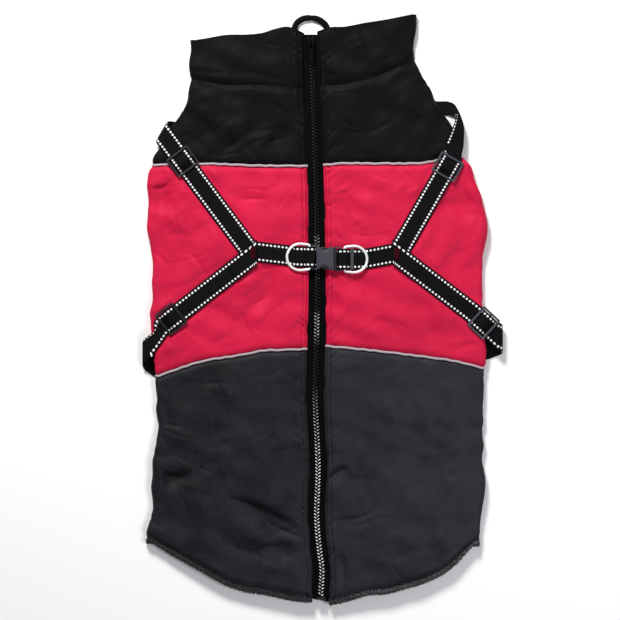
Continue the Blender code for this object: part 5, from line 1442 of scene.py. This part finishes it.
def build_buckle():
    """The side-release buckle: the notched socket with a raised middle, the plug and its two prongs."""
    socket = buckle_plate("buckle_socket_body", notched_outline(), BUCKLE_LOW, BUCKLE_HIGH - 0.7)
    dress(socket, "grey_plastic", nodes=["buckle_socket"])
    x = np.linspace(0.4, BUCKLE_SPLIT - 1.4, 17)
    reach = NOTCH_RADIUS + 1.5
    arc = np.sqrt(np.maximum(reach ** 2 - (x - NOTCH_X) ** 2, 0.0))
    waist = BUCKLE_HALF + NOTCH_RADIUS - NOTCH_DEPTH - arc
    edge = list(zip(x, np.minimum(waist, BUCKLE_HALF - 1.5)))
    crest = buckle_plate("buckle_socket_crest", edge + [(a, -b) for a, b in reversed(edge)],
                         BUCKLE_HIGH - 1.6, BUCKLE_HIGH, 0.5)
    dress(crest, "grey_plastic")
    end = BUCKLE_ENDS[1]
    half = [(BUCKLE_SPLIT, BUCKLE_HALF), (end - 1.2, BUCKLE_HALF), (end, BUCKLE_HALF - 1.2)]
    plug = buckle_plate("buckle_plug_body", half + [(x, -y) for x, y in reversed(half)],
                        BUCKLE_LOW, BUCKLE_HIGH - 0.4)
    dress(plug, "black_plastic", nodes=["buckle_plug"])
    for k, sign in enumerate((-1, 1)):
        turn = np.linspace(0.0, 2.0 * math.pi, 20, endpoint=False)
        prong = [(NOTCH_X + 4.4 * math.cos(a), sign * 9.4 + 1.5 * math.sin(a)) for a in turn]
        piece = buckle_plate(f"buckle_prong_{k}", prong, BUCKLE_LOW + 0.8, BUCKLE_HIGH - 2.2, 0.7)
        dress(piece, "black_plastic")
    buckle_end(-1)
    buckle_end(1)
    low, high = box_of("slide_bar")
    outline = [(low[0], low[1]), (high[0], low[1]), (high[0], high[1]), (low[0], high[1])]
    bar = bevelled(from_faces("slide_bar_bar", *prism(outline, low[2], high[2])), 0.5)
    dress(bar, "grey_plastic", nodes=["slide_bar"])


# ---------------------------------------------------------------- stage
def area_light(name, place, target, size, power, colour=(1.0, 1.0, 1.0)):
    """A square soft light aimed at a point."""
    data = bpy.data.lights.new(name, "AREA")
    data.size, data.energy, data.color = size, power, colour
    lamp = bpy.data.objects.new(name, data)
    lamp.location = place
    direction = np.array(target) - np.array(place)
    lamp.rotation_euler = (math.atan2(math.hypot(direction[0], direction[1]), -direction[2]), 0.0,
                           math.atan2(-direction[0], direction[1]))
    bpy.context.collection.objects.link(lamp)


def build_stage(light):
    """A pale floor, a soft light beyond the collar, a weaker one opposite, and the camera overhead."""
    size = 4.0
    points = [(-size, -size, 0.0), (size, -size, 0.0), (size, size, 0.0), (-size, size, 0.0)]
    mesh = bpy.data.meshes.new("floor")
    mesh.from_pydata(points, [], [[0, 1, 2, 3]])
    floor = bpy.data.objects.new("floor", mesh)
    bpy.context.collection.objects.link(floor)
    finish = Finish("pale floor", (0.95, 0.95, 0.95), 0.9)
    mesh.materials.append(finish.material)
    world = bpy.data.worlds.new("studio") if bpy.context.scene.world is None else bpy.context.scene.world
    bpy.context.scene.world = world
    world.use_nodes = True
    background = world.node_tree.nodes["Background"]
    background.inputs["Color"].default_value = (0.94, 0.96, 1.0, 1.0)
    background.inputs["Strength"].default_value = 0.16
    bpy.context.scene.view_settings.view_transform = "Standard"
    area_light("key", (-0.38, 1.2, 1.0), (0.0, 0.05, 0.0), 0.4, 32.0 * light, (1.0, 0.99, 0.98))
    area_light("fill", (0.85, -0.55, 1.35), (0.1, -0.12, 0.0), 0.6, 12.0 * light, (0.95, 0.97, 1.0))
    data = bpy.data.cameras.new("camera")
    distance, wide = 3.4, 0.62
    data.sensor_width = 36.0
    data.lens = 36.0 * distance / wide
    data.clip_start, data.clip_end = 0.1, 20.0
    camera = bpy.data.objects.new("camera", data)
    camera.location = (-0.008, 0.0, 0.012 + distance)
    bpy.context.collection.objects.link(camera)
    bpy.context.scene.camera = camera


# ---------------------------------------------------------------- the add-on
class CoatColours(bpy.types.PropertyGroup):
    """Colours that a user would change."""
    black_shell: bpy.props.FloatVectorProperty(
        name="Black shell", description="Colour of the collar and yoke", subtype="COLOR",
        size=3, min=0.0, max=1.0, default=(0.002, 0.002, 0.0022))
    red_shell: bpy.props.FloatVectorProperty(
        name="Red shell", description="Colour of the middle of the coat", subtype="COLOR",
        size=3, min=0.0, max=1.0, default=(0.6, 0.012, 0.055))
    reflective: bpy.props.FloatVectorProperty(
        name="Reflective piping", description="Colour of the piping", subtype="COLOR",
        size=3, min=0.0, max=1.0, default=(0.42, 0.34, 0.37))


class CoatForm(bpy.types.PropertyGroup):
    """Strengths that a user would change."""
    crease_strength: bpy.props.FloatProperty(
        name="Creases", description="How deep the fine creases and puckers are", subtype="FACTOR",
        default=1.0, min=0.0, max=1.6)
    light: bpy.props.FloatProperty(
        name="Light", description="Strength of the studio lights", subtype="FACTOR",
        default=1.0, min=0.1, max=4.0)


class COAT_OT_fronts(bpy.types.Operator):
    """Build the padded fronts, the collar and their topstitching"""
    bl_idname = "coat.fronts"
    bl_label = "Padded fronts"

    def execute(self, context):
        for front in FRONT_PIECES:
            for side in (-1, 1):
                build_front(front, side, context.scene.coat_form.crease_strength)
        return {"FINISHED"}


class COAT_OT_hem(bpy.types.Operator):
    """Build the bound fleece hem"""
    bl_idname = "coat.hem"
    bl_label = "Fleece hem"

    def execute(self, context):
        for side in (-1, 1):
            build_hem(side, context.scene.coat_form.crease_strength)
        return {"FINISHED"}


class COAT_OT_piping(bpy.types.Operator):
    """Build the reflective piping on both colour seams"""
    bl_idname = "coat.piping"
    bl_label = "Reflective piping"

    def execute(self, context):
        for side in (-1, 1):
            build_piping(side, "upper", UPPER_CURVE, context.scene.coat_form.crease_strength)
            build_piping(side, "lower", LOWER_CURVE, context.scene.coat_form.crease_strength)
        return {"FINISHED"}


class COAT_OT_underside(bpy.types.Operator):
    """Dress the belly side and bind its leg holes"""
    bl_idname = "coat.underside"
    bl_label = "Belly side"

    def execute(self, context):
        build_underside()
        return {"FINISHED"}


class COAT_OT_zip(bpy.types.Operator):
    """Build the zip with its teeth, slider and pull tab"""
    bl_idname = "coat.zip"
    bl_label = "Zip"

    def execute(self, context):
        build_zip()
        return {"FINISHED"}


class COAT_OT_hang_loop(bpy.types.Operator):
    """Build the hang loop at the collar"""
    bl_idname = "coat.hang_loop"
    bl_label = "Hang loop"

    def execute(self, context):
        build_hang_loop()
        return {"FINISHED"}


class COAT_OT_webbing(bpy.types.Operator):
    """Build the harness webbing and its bar tacks"""
    bl_idname = "coat.webbing"
    bl_label = "Harness webbing"

    def execute(self, context):
        build_wrapped_webbing("upper", -1)
        build_wrapped_webbing("lower", -1)
        build_wrapped_webbing("lower", 1)
        build_twisted_webbing()
        build_middle_webbing(-1)
        build_middle_webbing(1)
        build_tacks()
        return {"FINISHED"}


class COAT_OT_hardware(bpy.types.Operator):
    """Build the adjusters, the D-rings, the buckle and the slide bar"""
    bl_idname = "coat.hardware"
    bl_label = "Hardware"

    def execute(self, context):
        for side in (-1, 1):
            build_glide("upper", side)
            build_glide("lower", side)
            build_ring(side)
        build_buckle()
        return {"FINISHED"}


class COAT_OT_stage(bpy.types.Operator):
    """Set the floor, the lights and the camera"""
    bl_idname = "coat.stage"
    bl_label = "Stage"

    def execute(self, context):
        build_stage(context.scene.coat_form.light)
        return {"FINISHED"}


OPERATORS = (COAT_OT_fronts, COAT_OT_hem, COAT_OT_piping, COAT_OT_underside, COAT_OT_zip, COAT_OT_hang_loop,
             COAT_OT_webbing, COAT_OT_hardware, COAT_OT_stage)


class COAT_PT_panel(bpy.types.Panel):
    """Colours, sizes and the steps that build the coat"""
    bl_label = "Dog coat"
    bl_idname = "COAT_PT_panel"
    bl_space_type = "VIEW_3D"
    bl_region_type = "UI"
    bl_category = "Dog coat"

    def draw(self, context):
        for group in (context.scene.coat_colours, context.scene.coat_form):
            for name in group.__annotations__:
                self.layout.prop(group, name)
        for operator in OPERATORS:
            self.layout.operator(operator.bl_idname)


CLASSES = (CoatColours, CoatForm, *OPERATORS, COAT_PT_panel)


def register():
    for item in CLASSES:
        bpy.utils.register_class(item)
    bpy.types.Scene.coat_colours = bpy.props.PointerProperty(type=CoatColours)
    bpy.types.Scene.coat_form = bpy.props.PointerProperty(type=CoatForm)


def unregister():
    del bpy.types.Scene.coat_form
    del bpy.types.Scene.coat_colours
    for item in reversed(CLASSES):
        bpy.utils.unregister_class(item)


def main():
    """Register the add-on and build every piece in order."""
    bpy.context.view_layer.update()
    register()
    bpy.ops.coat.fronts()
    bpy.ops.coat.hem()
    bpy.ops.coat.piping()
    bpy.ops.coat.underside()
    bpy.ops.coat.zip()
    bpy.ops.coat.hang_loop()
    bpy.ops.coat.webbing()
    bpy.ops.coat.hardware()
    bpy.ops.coat.stage()


if __name__ == "__main__":
    main()
